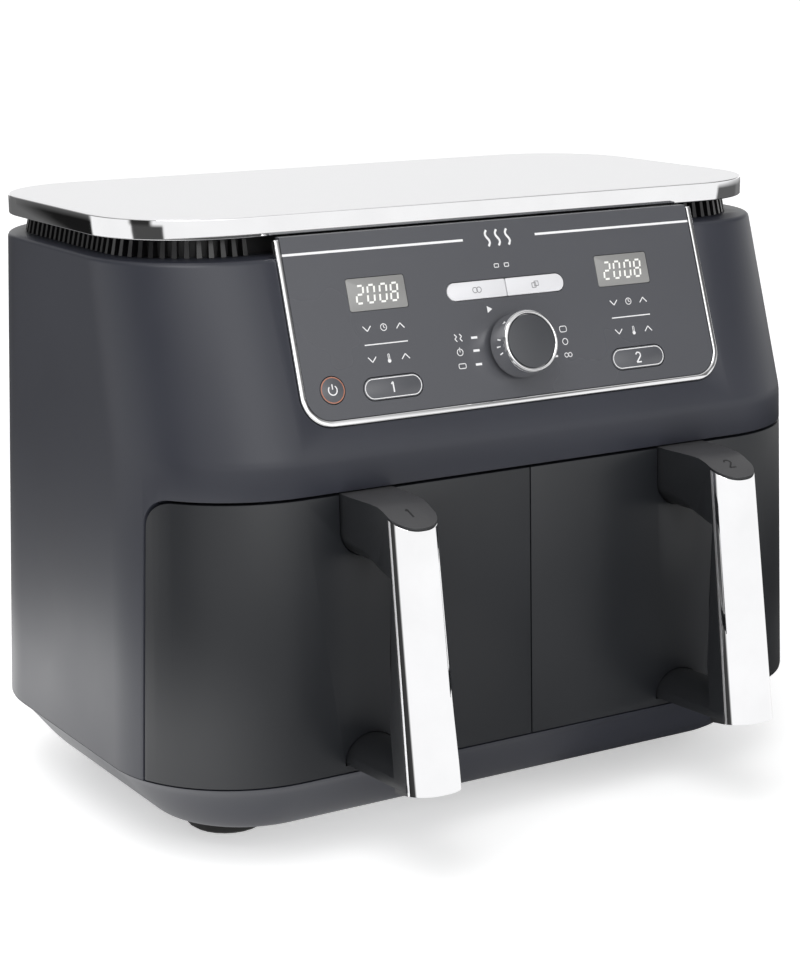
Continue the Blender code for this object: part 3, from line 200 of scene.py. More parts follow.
def put(name, mesh):
    obj = bpy.data.objects.new(name, mesh)
    bpy.context.scene.collection.objects.link(obj)
    return obj


def cut(obj, mesh, operation="DIFFERENCE"):
    """Boolean with a throwaway mesh, applied at once."""
    other = put("cutter", mesh)
    modifier = obj.modifiers.new("cut", "BOOLEAN")
    modifier.operation, modifier.solver, modifier.object = operation, "EXACT", other
    bake(obj)
    bpy.data.objects.remove(other, do_unlink=True)
    return obj


def bake(obj):
    """Apply the object's modifiers to its mesh."""
    graph = bpy.context.evaluated_depsgraph_get()
    mesh = bpy.data.meshes.new_from_object(obj.evaluated_get(graph))
    obj.modifiers.clear()
    obj.data = mesh
    return obj


def finished(obj, body, finish, replaces=(), edge=0.0, segments=2, angle=35):
    """Round the sharp edges, shade smooth, and hand the piece to the frame."""
    if edge:
        modifier = obj.modifiers.new("edges", "BEVEL")
        modifier.width, modifier.segments = edge, segments
        modifier.limit_method, modifier.angle_limit = "ANGLE", math.radians(angle + 5)
        modifier.use_clamp_overlap = True
        bake(obj)
    obj.data.shade_smooth()
    obj.data.set_sharp_from_angle(angle=math.radians(angle))
    obj.data.materials.clear()
    obj.data.materials.append(finish)
    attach(obj, body)
    if replaces:
        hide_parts(*replaces)
    return obj


# ---------------------------------------------------------------- materials
def new_material(name):
    made = bpy.data.materials.new(name)
    made.use_nodes = True
    tree = made.node_tree
    return made, tree, tree.nodes["Principled BSDF"]


def node(tree, kind, **values):
    made = tree.nodes.new(kind)
    for key, value in values.items():
        if key in made.inputs:
            made.inputs[key].default_value = value
        else:
            setattr(made, key, value)
    return made


def noise(tree, scale, detail=2.0, stretch=None):
    """Noise on the piece's own coordinates, in metres."""
    place = node(tree, "ShaderNodeTexCoord")
    made = node(tree, "ShaderNodeTexNoise", Scale=scale, Detail=detail)
    if stretch:
        mapping = node(tree, "ShaderNodeMapping", Scale=stretch)
        tree.links.new(place.outputs["Object"], mapping.inputs["Vector"])
        tree.links.new(mapping.outputs["Vector"], made.inputs["Vector"])
    else:
        tree.links.new(place.outputs["Object"], made.inputs["Vector"])
    return made.outputs["Fac"]


def spread(tree, source, low, high, start=0.3, end=0.7):
    """Map a noise output to a range of values."""
    made = node(tree, "ShaderNodeMapRange")
    made.inputs["From Min"].default_value = start
    made.inputs["From Max"].default_value = end
    made.inputs["To Min"].default_value = low
    made.inputs["To Max"].default_value = high
    tree.links.new(source, made.inputs["Value"])
    return made.outputs["Result"]


def tint(tree, source, dark, light):
    ramp = node(tree, "ShaderNodeValToRGB")
    ramp.color_ramp.elements[0].position, ramp.color_ramp.elements[1].position = 0.3, 0.7
    ramp.color_ramp.elements[0].color = (*dark, 1)
    ramp.color_ramp.elements[1].color = (*light, 1)
    tree.links.new(source, ramp.inputs["Fac"])
    return ramp.outputs["Color"]


def bump(tree, shader, source, strength, distance):
    made = node(tree, "ShaderNodeBump", Strength=strength, Distance=distance)
    tree.links.new(source, made.inputs["Height"])
    tree.links.new(made.outputs["Normal"], shader.inputs["Normal"])


def moulded(name, colour, rough, grain=900.0, depth=0.00002, level=0.5, strength=0.35, vary=0.06):
    """Satin moulded plastic: a fine spark-eroded grain, slightly uneven in gloss and tone."""
    made, tree, shader = new_material(name)
    fine, broad = noise(tree, grain, 3.0), noise(tree, 14.0, 3.0)
    dark, light = [c * (1 - vary) for c in colour], [c * (1 + vary) for c in colour]
    tree.links.new(tint(tree, broad, dark, light), shader.inputs["Base Color"])
    tree.links.new(spread(tree, broad, rough - vary / 2, rough + vary / 2), shader.inputs["Roughness"])
    shader.inputs["Specular IOR Level"].default_value = level
    bump(tree, shader, fine, strength, depth)
    return made


def metal(name, colour, rough, stretch=None, scale=500.0, depth=0.00001, strength=0.2, vary=0.02):
    """Metal, polished or brushed along one direction."""
    made, tree, shader = new_material(name)
    grain = noise(tree, scale, 4.0, stretch)
    dark, light = [c * 0.97 for c in colour], [min(1.0, c * 1.02) for c in colour]
    tree.links.new(tint(tree, grain, dark, light), shader.inputs["Base Color"])
    tree.links.new(spread(tree, grain, max(0.0, rough - vary), rough + vary), shader.inputs["Roughness"])
    shader.inputs["Metallic"].default_value = 1.0
    bump(tree, shader, grain, strength, depth)
    return made


def printed(name, colour, rough=0.45):
    """Screen print: opaque ink with a faint mottle."""
    made, tree, shader = new_material(name)
    mottle = noise(tree, 2500.0, 2.0)
    tree.links.new(tint(tree, mottle, [c * 0.93 for c in colour], colour), shader.inputs["Base Color"])
    shader.inputs["Roughness"].default_value = rough
    return made


HOUSING = moulded("housing_satin", (0.023, 0.025, 0.035), 0.42)
DRAWER = moulded("drawer_satin", (0.0105, 0.0118, 0.0145), 0.42)
HANDLE = moulded("handle_satin", (0.015, 0.016, 0.018), 0.34)
# painted highlight: a light grey for the handle's sloping top bevel faces, a bright edge line painted on
GRIP_HIGHLIGHT = moulded("painted_grip_highlight", (0.30, 0.30, 0.31), 0.30)
# painted light: a lighter grey for the handle's upward top faces, the top painted lighter than the sides
LIT_GRIP_TOP = moulded("painted_light_grip_top", (0.055, 0.055, 0.058), 0.40)
BLACK = moulded("vent_black", (0.006, 0.006, 0.007), 0.5, grain=1400.0)
FIN = moulded("vent_fin", (0.010, 0.010, 0.011), 0.30, grain=1400.0)
RUBBER = moulded("foot_rubber", (0.010, 0.010, 0.010), 0.75, grain=1600.0, depth=0.00004)
COVER = metal("cover_satin", (0.86, 0.86, 0.87), 0.34, stretch=(1.0, 60.0, 60.0), scale=60.0, vary=0.05)
CHROME = metal("chrome", (0.90, 0.90, 0.91), 0.05, scale=40.0, strength=0.05, vary=0.015)
STRIP = metal("chrome_strip", (0.95, 0.95, 0.96), 0.0, scale=40.0, strength=0.02, vary=0.0)
STRIP_SIDE = metal("strip_side", (0.92, 0.92, 0.93), 0.42, stretch=(60.0, 60.0, 1.0), scale=60.0, vary=0.04)
PANEL_GREY = moulded("panel_gloss", (0.071, 0.073, 0.082), 0.27, grain=2200.0, depth=0.000004, vary=0.012)
KEY_GREY = moulded("key_gloss", (0.080, 0.082, 0.091), 0.28, grain=2200.0, depth=0.000004, vary=0.012)
PILL_GREY = moulded("bar_key", (0.66, 0.66, 0.68), 0.30, grain=2200.0, depth=0.000004, vary=0.012)
CAP_GREY = moulded("dial_cap", (0.045, 0.047, 0.053), 0.36, grain=1800.0, depth=0.000008)
DISPLAY = moulded("display_grey", (0.235, 0.235, 0.23), 0.16, grain=3000.0, depth=0.000002, vary=0.012)
INK = printed("print_white", (0.78, 0.78, 0.79))
INK_GREY = printed("print_grey", (0.24, 0.24, 0.25))
COPPER = printed("print_copper", (0.42, 0.17, 0.11), 0.35)
DIGITS = printed("digits_pale", (0.86, 0.86, 0.82), 0.5)
NONSTICK = moulded("nonstick", (0.022, 0.022, 0.024), 0.32, grain=700.0, depth=0.00002)
LINER = metal("liner_steel", (0.30, 0.30, 0.31), 0.42, scale=260.0, vary=0.08)
ELEMENT = metal("element_steel", (0.26, 0.22, 0.20), 0.45, scale=300.0, vary=0.1)
FAN = metal("fan_aluminium", (0.72, 0.72, 0.74), 0.33, scale=500.0, vary=0.05)
STEEL = metal("plain_steel", (0.58, 0.58, 0.60), 0.30, scale=600.0, vary=0.05)
MOTOR = metal("motor_steel", (0.45, 0.45, 0.47), 0.40, scale=400.0, vary=0.06)
BOARD = moulded("board_green", (0.012, 0.090, 0.035), 0.45, grain=1200.0)
SILICONE = moulded("silicone", (0.016, 0.016, 0.016), 0.6, grain=1500.0)


# ---------------------------------------------------------------- the body's surface
def share_of(z):
    return (z - SEAM_Z) / (TOP_Z - SEAM_Z)


def front_at(z):
    upright = FRONT + FRONT_DRAFT * min(z - SEAM_Z, CREASE_Z - SEAM_Z) / (CREASE_Z - SEAM_Z)
    above = z - CREASE_Z
    if above <= -CREASE_EASE:
        return upright
    if above >= CREASE_EASE:
        return upright + above * math.tan(TILT)
    return upright + (above + CREASE_EASE) ** 2 / (4 * CREASE_EASE) * math.tan(TILT)


def body_outline(z, inset=0.0, steps=20):
    share = share_of(z)
    upper = max(0.0, (z - CREASE_Z) / (TOP_Z - CREASE_Z))
    half = HALF - SIDE_DRAFT * share - inset
    front = FRONT_CORNER[0] + (FRONT_CORNER[1] - FRONT_CORNER[0]) * upper - inset
    back = BACK_CORNER[0] + (BACK_CORNER[1] - BACK_CORNER[0]) * share - inset
    rear = BACK - BACK_DRAFT * share - inset
    return rounded(-half, half, front_at(z) + inset, rear, (front, front, back, back), steps)


def body_heights(low, high):
    bend = [CREASE_Z + CREASE_EASE * k / 5 for k in range(-5, 6)]
    return [low] + [z for z in bend if low < z < high] + [high]


def body_mesh(low, high, inset=0.0, steps=20):
    return loft([at(body_outline(z, inset, steps), z) for z in body_heights(low, high)])


def bay_profile(gap, back_extra=0.0, low=SEAM_Z - 0.05):
    back, top = BAY_Y + back_extra - gap, DRAWER_TOP + back_extra - gap
    corner = DRAWER_CORNER + back_extra
    bend = arc((back - corner, top - corner), corner, 0, 90, 14)
    return [(FRONT - 0.3, low), (back, low), *bend, (FRONT - 0.3, top)]


def lid_outline(inset, steps=20):
    corner = max(LID_CORNER - inset, 0.004)
    return rounded(-LID_HALF + inset, LID_HALF - inset, lid_low.y + inset, lid_high.y - inset, corner, steps)


def panel_outline(inset, steps=12):
    top = PANEL_TOP + min(inset, 0) * -1
    low, corner = PANEL_LOW + inset, max(PANEL_CORNER - inset, 0.002)
    half_low, half_top = PANEL_HALF_LOW - inset, PANEL_HALF_TOP - inset
    left = arc((-half_low + corner, low + corner), corner, 180, 270, steps)
    right = arc((half_low - corner, low + corner), corner, 270, 360, steps)
    return [(-half_top, top), *left, *right, (half_top, top)]


def make_housing():
    rings = [at(body_outline(z), z) for z in body_heights(SEAM_Z + GAP, TOP_Z - 0.0022)]
    for turn in (15, 30, 45, 60, 75, 90):
        a = math.radians(turn)
        z = TOP_Z - 0.0022 * (1 - math.sin(a))
        rings.append(at(body_outline(z, 0.0022 * (1 - math.cos(a))), z))
    housing = put("housing", loft(rings))
    inside = put("inside", body_mesh(SEAM_Z - 0.01, TOP_Z - SKIN, SKIN, 12))
    cut(inside, along_x(bay_profile(0, SKIN, SEAM_Z - 0.02), -1, 1))
    cut(housing, inside.data.copy())
    bpy.data.objects.remove(inside)
    cut(housing, along_x(bay_profile(0), -1, 1))
    for name, side in SIDES:
        low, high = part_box(f"{name}_cavity_liner")
        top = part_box(f"{name}_basket")[1].z + 0.0035
        x0, x1 = low.x + 0.0012, high.x - 0.0012
        cut(housing, block((x0, BAY_Y - DRAWER_CORNER, low.z), (x1, BAY_Y + 2 * SKIN, top)))
    cut(housing, prism(lid_outline(0.0185, 16), TOP_Z - 0.02, TOP_Z + 0.01))
    cut(housing, moved(prism(panel_outline(-GAP), -0.0105, 0.02), PANEL))
    low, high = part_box("rear_vent")
    cut(housing, block((low.x - GAP, BACK - 0.03, low.z - GAP), (high.x + GAP, BACK + 0.01, high.z + GAP)))
    return finished(housing, "body", HOUSING, ["main_housing"], edge=0.0005)


def make_base():
    def ring(z):
        drop = (SEAM_Z - z) / (SEAM_Z - FOOT_Z)
        curve = 1 - math.sqrt(max(0.0, 1 - drop * drop))
        set_in = BASE_INSET * (0.7 * drop**0.75 + 0.3 * curve)
        front = FRONT_CORNER[0] + (BASE_CORNER - FRONT_CORNER[0]) * drop
        back = BACK_CORNER[0] + (BASE_CORNER - BACK_CORNER[0]) * drop
        half = HALF - set_in
        return at(rounded(-half, half, FRONT + set_in, BACK - set_in, (front, front, back, back), 20), z)

    shares = [math.sin(math.radians(a)) for a in range(0, 91, 6)]
    base = put("base", loft([ring(SEAM_Z - (SEAM_Z - FOOT_Z) * s) for s in shares]))
    return finished(base, "body", HOUSING, ["base_tray"], edge=0.0004, angle=30)


def make_lid():
    """A bright polished edge with rounded corners, and the satin top set into it."""
    edge, z = 0.0005, LID_Z
    rings = [at(lid_outline(0.02), z + 0.004), at(lid_outline(0.02), z), at(lid_outline(edge), z)]
    for turn in (30, 60, 90):
        a = math.radians(turn)
        rings.append(at(lid_outline(edge * (1 - math.sin(a))), z + edge * (1 - math.cos(a))))
    for turn in (0, 20, 40, 60):
        a = math.radians(turn)
        rings.append(at(lid_outline(edge * (1 - math.cos(a))), LID_TOP - edge * (1 - math.sin(a))))
    rings += [at(lid_outline(inset), LID_TOP - 0.0002) for inset in (edge + 0.0006, 0.03)]
    finished(put("cover_edge", loft(rings)), "body", CHROME, ["top_cover"])
    steps = ((0.9, 0.0007), (0.9, 0.00012), (1.1, 0.0))
    top = loft([at(lid_outline(edge * share), LID_TOP - drop) for share, drop in steps])
    finished(put("cover_top", top), "body", COVER)


def make_vent():
    """A black band with upright fins, shut in behind."""
    band = put("vent_band", prism(lid_outline(0.0140, 20), TOP_Z - 0.0005, LID_Z - GAP))
    seat = panel_outline(-GAP)
    seat = [(seat[0][0], PANEL_TOP + 0.03), *seat[1:-1], (seat[-1][0], PANEL_TOP + 0.03)]
    cut(band, moved(prism(seat, -0.0105, 0.03), PANEL))
    finished(band, "body", BLACK, ["vent_grille"])
    bm = bmesh.new()
    outline = [Vector(p) for p in lid_outline(0.0106, 20)]
    lengths = [(b - a).length for a, b in zip(outline, outline[1:] + outline[:1])]
    total, pitch = sum(lengths), 0.0058
    count = int(total / pitch)
    for k in range(count):
        want = total * (k + 0.5) / count
        i = 0
        while want > lengths[i]:
            want -= lengths[i]
            i += 1
        a, b = outline[i], outline[(i + 1) % len(outline)]
        along = (b - a).normalized()
        out = Vector((along.y, -along.x))
        middle = a + along * want
        if abs(middle.x) < abs(panel_outline(0)[0][0]) + 0.003 and middle.y < (FRONT + BACK) / 2:
            continue
        rings = []
        for z, reach, half in ((TOP_Z + 0.0002, 0.0022, 0.0013), (LID_Z - GAP, 0.0002, 0.0010)):
            corners = [middle - along * half - out * 0.003, middle + along * half - out * 0.003,
                       middle + along * half + out * reach, middle - along * half + out * reach]
            rings.append(at([tuple(c) for c in corners], z))
        bm.from_mesh(loft(rings))
    mesh = bpy.data.meshes.new("vent")
    bm.to_mesh(mesh)
    bm.free()
    finished(put("vent_fins", mesh), "body", FIN)


def make_drawer(name, side):
    z0, z1 = SEAM_Z + SEAM, DRAWER_TOP - SEAM - 0.0007
    front = put(f"{name}_front", body_mesh(z0, z1))
    near, far = sorted((side * SEAM / 2, side * 1.0))
    cut(front, along_x(bay_profile(SEAM + 0.0006), near, far), "INTERSECT")
    hollow = put("hollow", body_mesh(SEAM_Z - 0.01, DRAWER_TOP + 0.01, DRAWER_SKIN))
    near, far = sorted((side * (SEAM / 2 + DRAWER_SKIN), side * 1.0))
    room = block((near, FRONT + DRAWER_PLATE, SEAM_Z - 0.02), (far, BACK, DRAWER_TOP + 0.02))
    cut(hollow, room, "INTERSECT")
    cut(front, hollow.data.copy())
    bpy.data.objects.remove(hollow)
    root_y = front_at(DRAWER_TOP) + ARM_SEAT
    cut(front, along_y(arm_section(side, ARM_ROOM), FRONT - 0.01, root_y + GAP))
    seat_y = front_at(0.05) + ARM_SEAT
    cut(front, along_y(tongue_section(side, TONGUE_Z, ARM_ROOM), FRONT - 0.01, seat_y + GAP))
    finished(front, f"{name}_drawer", DRAWER, [f"{name}_drawer_front"], edge=0.0007)


# ---------------------------------------------------------------- handles
def nose_y(z):
    return FRONT - HANDLE_REACH + (z - GRIP_BOTTOM) * math.tan(HANDLE_LEAN)


def grip_half(z):
    share = (DRAWER_TOP - z) / (DRAWER_TOP - GRIP_BOTTOM)
    return HALF_TOP + (HALF_LOW - HALF_TOP) * share


def nose_mesh(side, inset, low, high):
    middle, root = side * HANDLE_X, HALF_ROOT - inset
    straight, back = FRONT - ROOT_STRAIGHT, FRONT + 0.03
    rings = []
    for z in (low, high):
        half, nose = grip_half(z) - inset, NOSE_SHARE * grip_half(z) - inset
        front = nose_y(z) + inset
        left = arc((middle - half + nose, front + nose), nose, 180, 270, 18)
        right = arc((middle + half - nose, front + nose), nose, 270, 360, 18)
        x0, x1 = middle - root, middle + root
        rings.append(at([*left, *right, (x1, straight), (x1, back), (x0, back), (x0, straight)], z))
    return loft(rings)


def grip_profile():
    top, low = DRAWER_TOP - SEAM, DRAWER_TOP - ARM_HEIGHT
    foot_back = GRIP_BOTTOM - GRIP_DEPTH * math.tan(HANDLE_LEAN)
    bend_z = low + ARM_RISE - INNER_ROUND
    bend_y = nose_y(bend_z) + GRIP_DEPTH + INNER_ROUND
    root = front_at(DRAWER_TOP) + ARM_SEAT
    inner = arc((bend_y, bend_z), INNER_ROUND, 180 - math.degrees(HANDLE_LEAN), 90, 12)
    flat_end = FRONT - NOSE_FLAT
    ease = [(flat_end + 0.006, top), (flat_end, top - 0.0003), (flat_end - 0.005, top - 0.0016)]
    return [(root, top), *ease, (nose_y(NOSE_TOP), NOSE_TOP), (nose_y(GRIP_BOTTOM), GRIP_BOTTOM),
            (nose_y(foot_back) + GRIP_DEPTH, foot_back), *inner, (root, low)]


def arm_section(side, room=0.0):
    middle, half = side * HANDLE_X, HALF_ROOT + room
    corner = ARM_ROUND + room
    low = DRAWER_TOP - ARM_HEIGHT - room
    return rounded(middle - half, middle + half, low, DRAWER_TOP + 0.02, (corner, corner, 0.001, 0.001), 12)


def tongue_section(side, low, room=0.0):
    middle, half, height = side * HANDLE_X, HALF_ROOT + room, TONGUE_HEIGHT + room
    turn = [math.radians(a) for a in range(0, 181, 6)]
    arch = [(middle + half * math.cos(a), low + height * math.sin(a)) for a in turn]
    base = low - room - 0.0004
    return [*arch, (middle - half, base), (middle + half, base)]


def wrap_profile(gap):
    low, high = GRIP_BOTTOM + gap, NOSE_TOP - WRAP_CAP - gap
    fall = NOSE_DROP / (FRONT - NOSE_FLAT - nose_y(NOSE_TOP))
    lean, past, back = math.tan(HANDLE_LEAN), 0.01, WRAP_DEPTH - gap
    return [(nose_y(low) - past, low + past * lean), (nose_y(low) + back, low - back * lean),
            (nose_y(high) + back, high + back * fall), (nose_y(high) - past, high - past * fall)]


def make_handle(name, side):
    middle = side * HANDLE_X
    x0, x1 = middle - HALF_ROOT - 0.01, middle + HALF_ROOT + 0.01
    grip = put(f"{name}_grip", along_x(grip_profile(), x0, x1))
    low, high = GRIP_BOTTOM - 0.02, DRAWER_TOP + 0.02
    bend_back = FRONT - NOSE_FLAT - 0.013
    cut(grip, nose_mesh(side, 0, low, high), "INTERSECT")
    root_y = front_at(DRAWER_TOP) + ARM_SEAT
    section = arm_section(side)
    wide = [(middle + (x - middle) * 1.3, z - 0.004) for x, z in section]
    keep = loft([[(x, y, z) for x, z in outline] for y, outline in (
        (FRONT - HANDLE_REACH - 0.01, wide), (FRONT - NOSE_FLAT - 0.012, wide),
        (FRONT - NOSE_FLAT + 0.010, section), (root_y + 0.01, section))])
    above = put("above", keep)
    lower = along_x([(FRONT - HANDLE_REACH - 0.02, low), (bend_back, low), (bend_back, DRAWER_TOP + 0.03),
                     (FRONT - HANDLE_REACH - 0.02, DRAWER_TOP + 0.03)], x0, x1)
    cut(above, lower, "UNION")
    cut(grip, above.data.copy(), "INTERSECT")
    bpy.data.objects.remove(above)
    seat_y, tongue_end = front_at(0.05) + ARM_SEAT, nose_y(GRIP_BOTTOM) + GRIP_DEPTH / 2
    rings = [[(x, y, h) for x, h in tongue_section(side, z)]
             for y, z in ((seat_y, TONGUE_Z), (tongue_end, TONGUE_Z + TONGUE_RISE))]
    cut(grip, loft(rings), "UNION")
    channel = put("channel", along_x(wrap_profile(-GAP), x0, x1))
    cut(channel, nose_mesh(side, WRAP_THICKNESS + GAP, low, high))
    cut(grip, channel.data.copy())
    bpy.data.objects.remove(channel)
    grip = finished(grip, f"{name}_drawer", HANDLE, [f"{name}_handle"], edge=0.0004)
    grip.data.materials.append(LIT_GRIP_TOP)
    grip.data.materials.append(GRIP_HIGHLIGHT)
    # painted light: the handle's upward top faces take the lighter grey, and the sloping top bevel faces take a
    # light grey as a painted highlight
    for face in grip.data.polygons:
        if face.normal.z > 0.2 and face.center.z > NOSE_TOP - 0.001:
            face.material_index = 1 if face.normal.z > 0.85 else 2
    number_y = nose_y(NOSE_TOP) + 0.0125
    plates = [prism(p, -0.0001, 0.0001) for p in glyph(1 if side < 0 else 2, middle, number_y, 0.0066, 0.0009)]
    bm = bmesh.new()
    for plate in plates:
        bm.from_mesh(plate)
    fall = (DRAWER_TOP - SEAM - 0.0016 - NOSE_TOP) / (FRONT - NOSE_FLAT - 0.005 - nose_y(NOSE_TOP))
    for vertex in bm.verts:
        vertex.co.z += NOSE_TOP + (vertex.co.y - nose_y(NOSE_TOP)) * fall
    number = bpy.data.meshes.new("number")
    bm.to_mesh(number)
    bm.free()
    finished(put(f"{name}_number", number), f"{name}_drawer", BLACK)
    strip = put(f"{name}_strip", nose_mesh(side, 0, low, high))
    cut(strip, nose_mesh(side, WRAP_THICKNESS, low - 0.01, high + 0.01))
    cut(strip, along_x(wrap_profile(0), x0, x1), "INTERSECT")
    strip = finished(strip, f"{name}_drawer", STRIP, [f"{name}_handle_wrap"], edge=0.0002)
    strip.data.materials.append(STRIP_SIDE)
    for face in strip.data.polygons:
        if abs(face.normal.x) > 0.985:
            face.material_index = 1


# ---------------------------------------------------------------- control panel
def flat(shapes, low, high):
    """One mesh of thin plates from (x, s) outlines."""
    bm = bmesh.new()
    for outline in shapes:
        bm.from_mesh(prism(outline, low, high))
    mesh = bpy.data.meshes.new("marks")
    bm.to_mesh(mesh)
    bm.free()
    return moved(mesh, PANEL)


def bar(x0, y0, x1, y1, width):
    """A straight stroke between two points."""
    a, b = Vector((x0, y0)), Vector((x1, y1))
    n = (b - a).normalized()
    n = Vector((-n.y, n.x)) * width / 2
    return [tuple(a - n), tuple(b - n), tuple(b + n), tuple(a + n)]


def stroke(points, width):
    """A round-cornered line of short bars, as overlapping plates."""
    return [bar(*a, *b, width) for a, b in zip(points, points[1:])]


def ring(outline, width):
    """A closed line along an outline, as plates that meet at their corners."""
    middle = Vector((sum(x for x, _ in outline) / len(outline), sum(y for _, y in outline) / len(outline)))
    plates = []
    for a, b in zip(outline, outline[1:] + outline[:1]):
        a, b = Vector(a), Vector(b)
        if (b - a).length < 1e-7:
            continue
        n = (b - a).normalized()
        n = Vector((-n.y, n.x))
        if n.dot(middle - a) < 0:
            n = -n
        plates.append([tuple(a), tuple(b), tuple(b + n * width), tuple(a + n * width)])
    return plates


def pill(x0, x1, middle, height, inset=0.0, left=True, right=True, steps=14):
    low, high = middle - height / 2 + inset, middle + height / 2 - inset
    full, small = (high - low) / 2 - 0.00001, 0.0006
    a, b = (full if left else small), (full if right else small)
    return rounded(x0 + inset, x1 - inset, low, high, (a, b, b, a), steps)


SEGMENTS = {
    "0": "abcdef", "1": "bc", "2": "abged", "3": "abgcd", "4": "fgbc",
    "5": "afgcd", "6": "afgecd", "7": "abc", "8": "abcdefg", "9": "abcdfg",
}


def seven(digit, x, y, width, height, thick, slant=0.12):
    """A seven-segment digit as thin plates, slanted like a display's."""
    w, h = width / 2, height / 2
    cut_back = thick * 0.62
    ends = {
        "a": ((-w + cut_back, h), (w - cut_back, h)), "g": ((-w + cut_back, 0), (w - cut_back, 0)),
        "d": ((-w + cut_back, -h), (w - cut_back, -h)), "f": ((-w, h - cut_back), (-w, cut_back)),
        "b": ((w, h - cut_back), (w, cut_back)), "e": ((-w, -cut_back), (-w, -h + cut_back)),
        "c": ((w, -cut_back), (w, -h + cut_back)),
    }
    plates = []
    for key in SEGMENTS[digit]:
        (ax, ay), (bx, by) = ends[key]
        plates.append([(x + px + py * slant, y + py) for px, py in bar(ax, ay, bx, by, thick)])
    return plates


def glyph(digit, x, y, height, thick):
    """A plain 1 or 2 for the zone keys."""
    h, w = height / 2, height * 0.28
    if digit == 1:
        return stroke([(x - w * 0.7, y + h * 0.6), (x, y + h), (x, y - h)], thick)
    top = arc((x, y + h - w), w, 165, -45, 14)
    return stroke([*top, (x - w, y - h), (x + w * 1.1, y - h)], thick)


def arrow(x, y, up, width=0.0046, height=0.0026, thick=0.0005):
    low, tip = (y - height / 2, y + height / 2) if up else (y + height / 2, y - height / 2)
    return stroke([(x - width / 2, low), (x, tip), (x + width / 2, low)], thick)


def circle(x, y, radius, steps=40):
    return arc((x, y), radius, 0, 360 * (1 - 1 / steps), steps - 1)


def make_key(name, shape, finish):
    """The visible cap of a key, on the CAD key's own outline."""
    rings = [at(shape(0), FACE - 0.0030), at(shape(0), BUTTON_PROUD - 0.0003)]
    rings += [at(shape(0.00010), BUTTON_PROUD - 0.0001), at(shape(0.0003), BUTTON_PROUD)]
    finished(put(f"{name}_cap", moved(loft(rings), PANEL)), name, finish, [name])


def marks(name, shapes, finish, body="body", low=FACE - 0.0001, proud=0.00006):
    obj = put(name, flat(shapes, low, low + 0.0001 + proud))
    return finished(obj, body, finish)


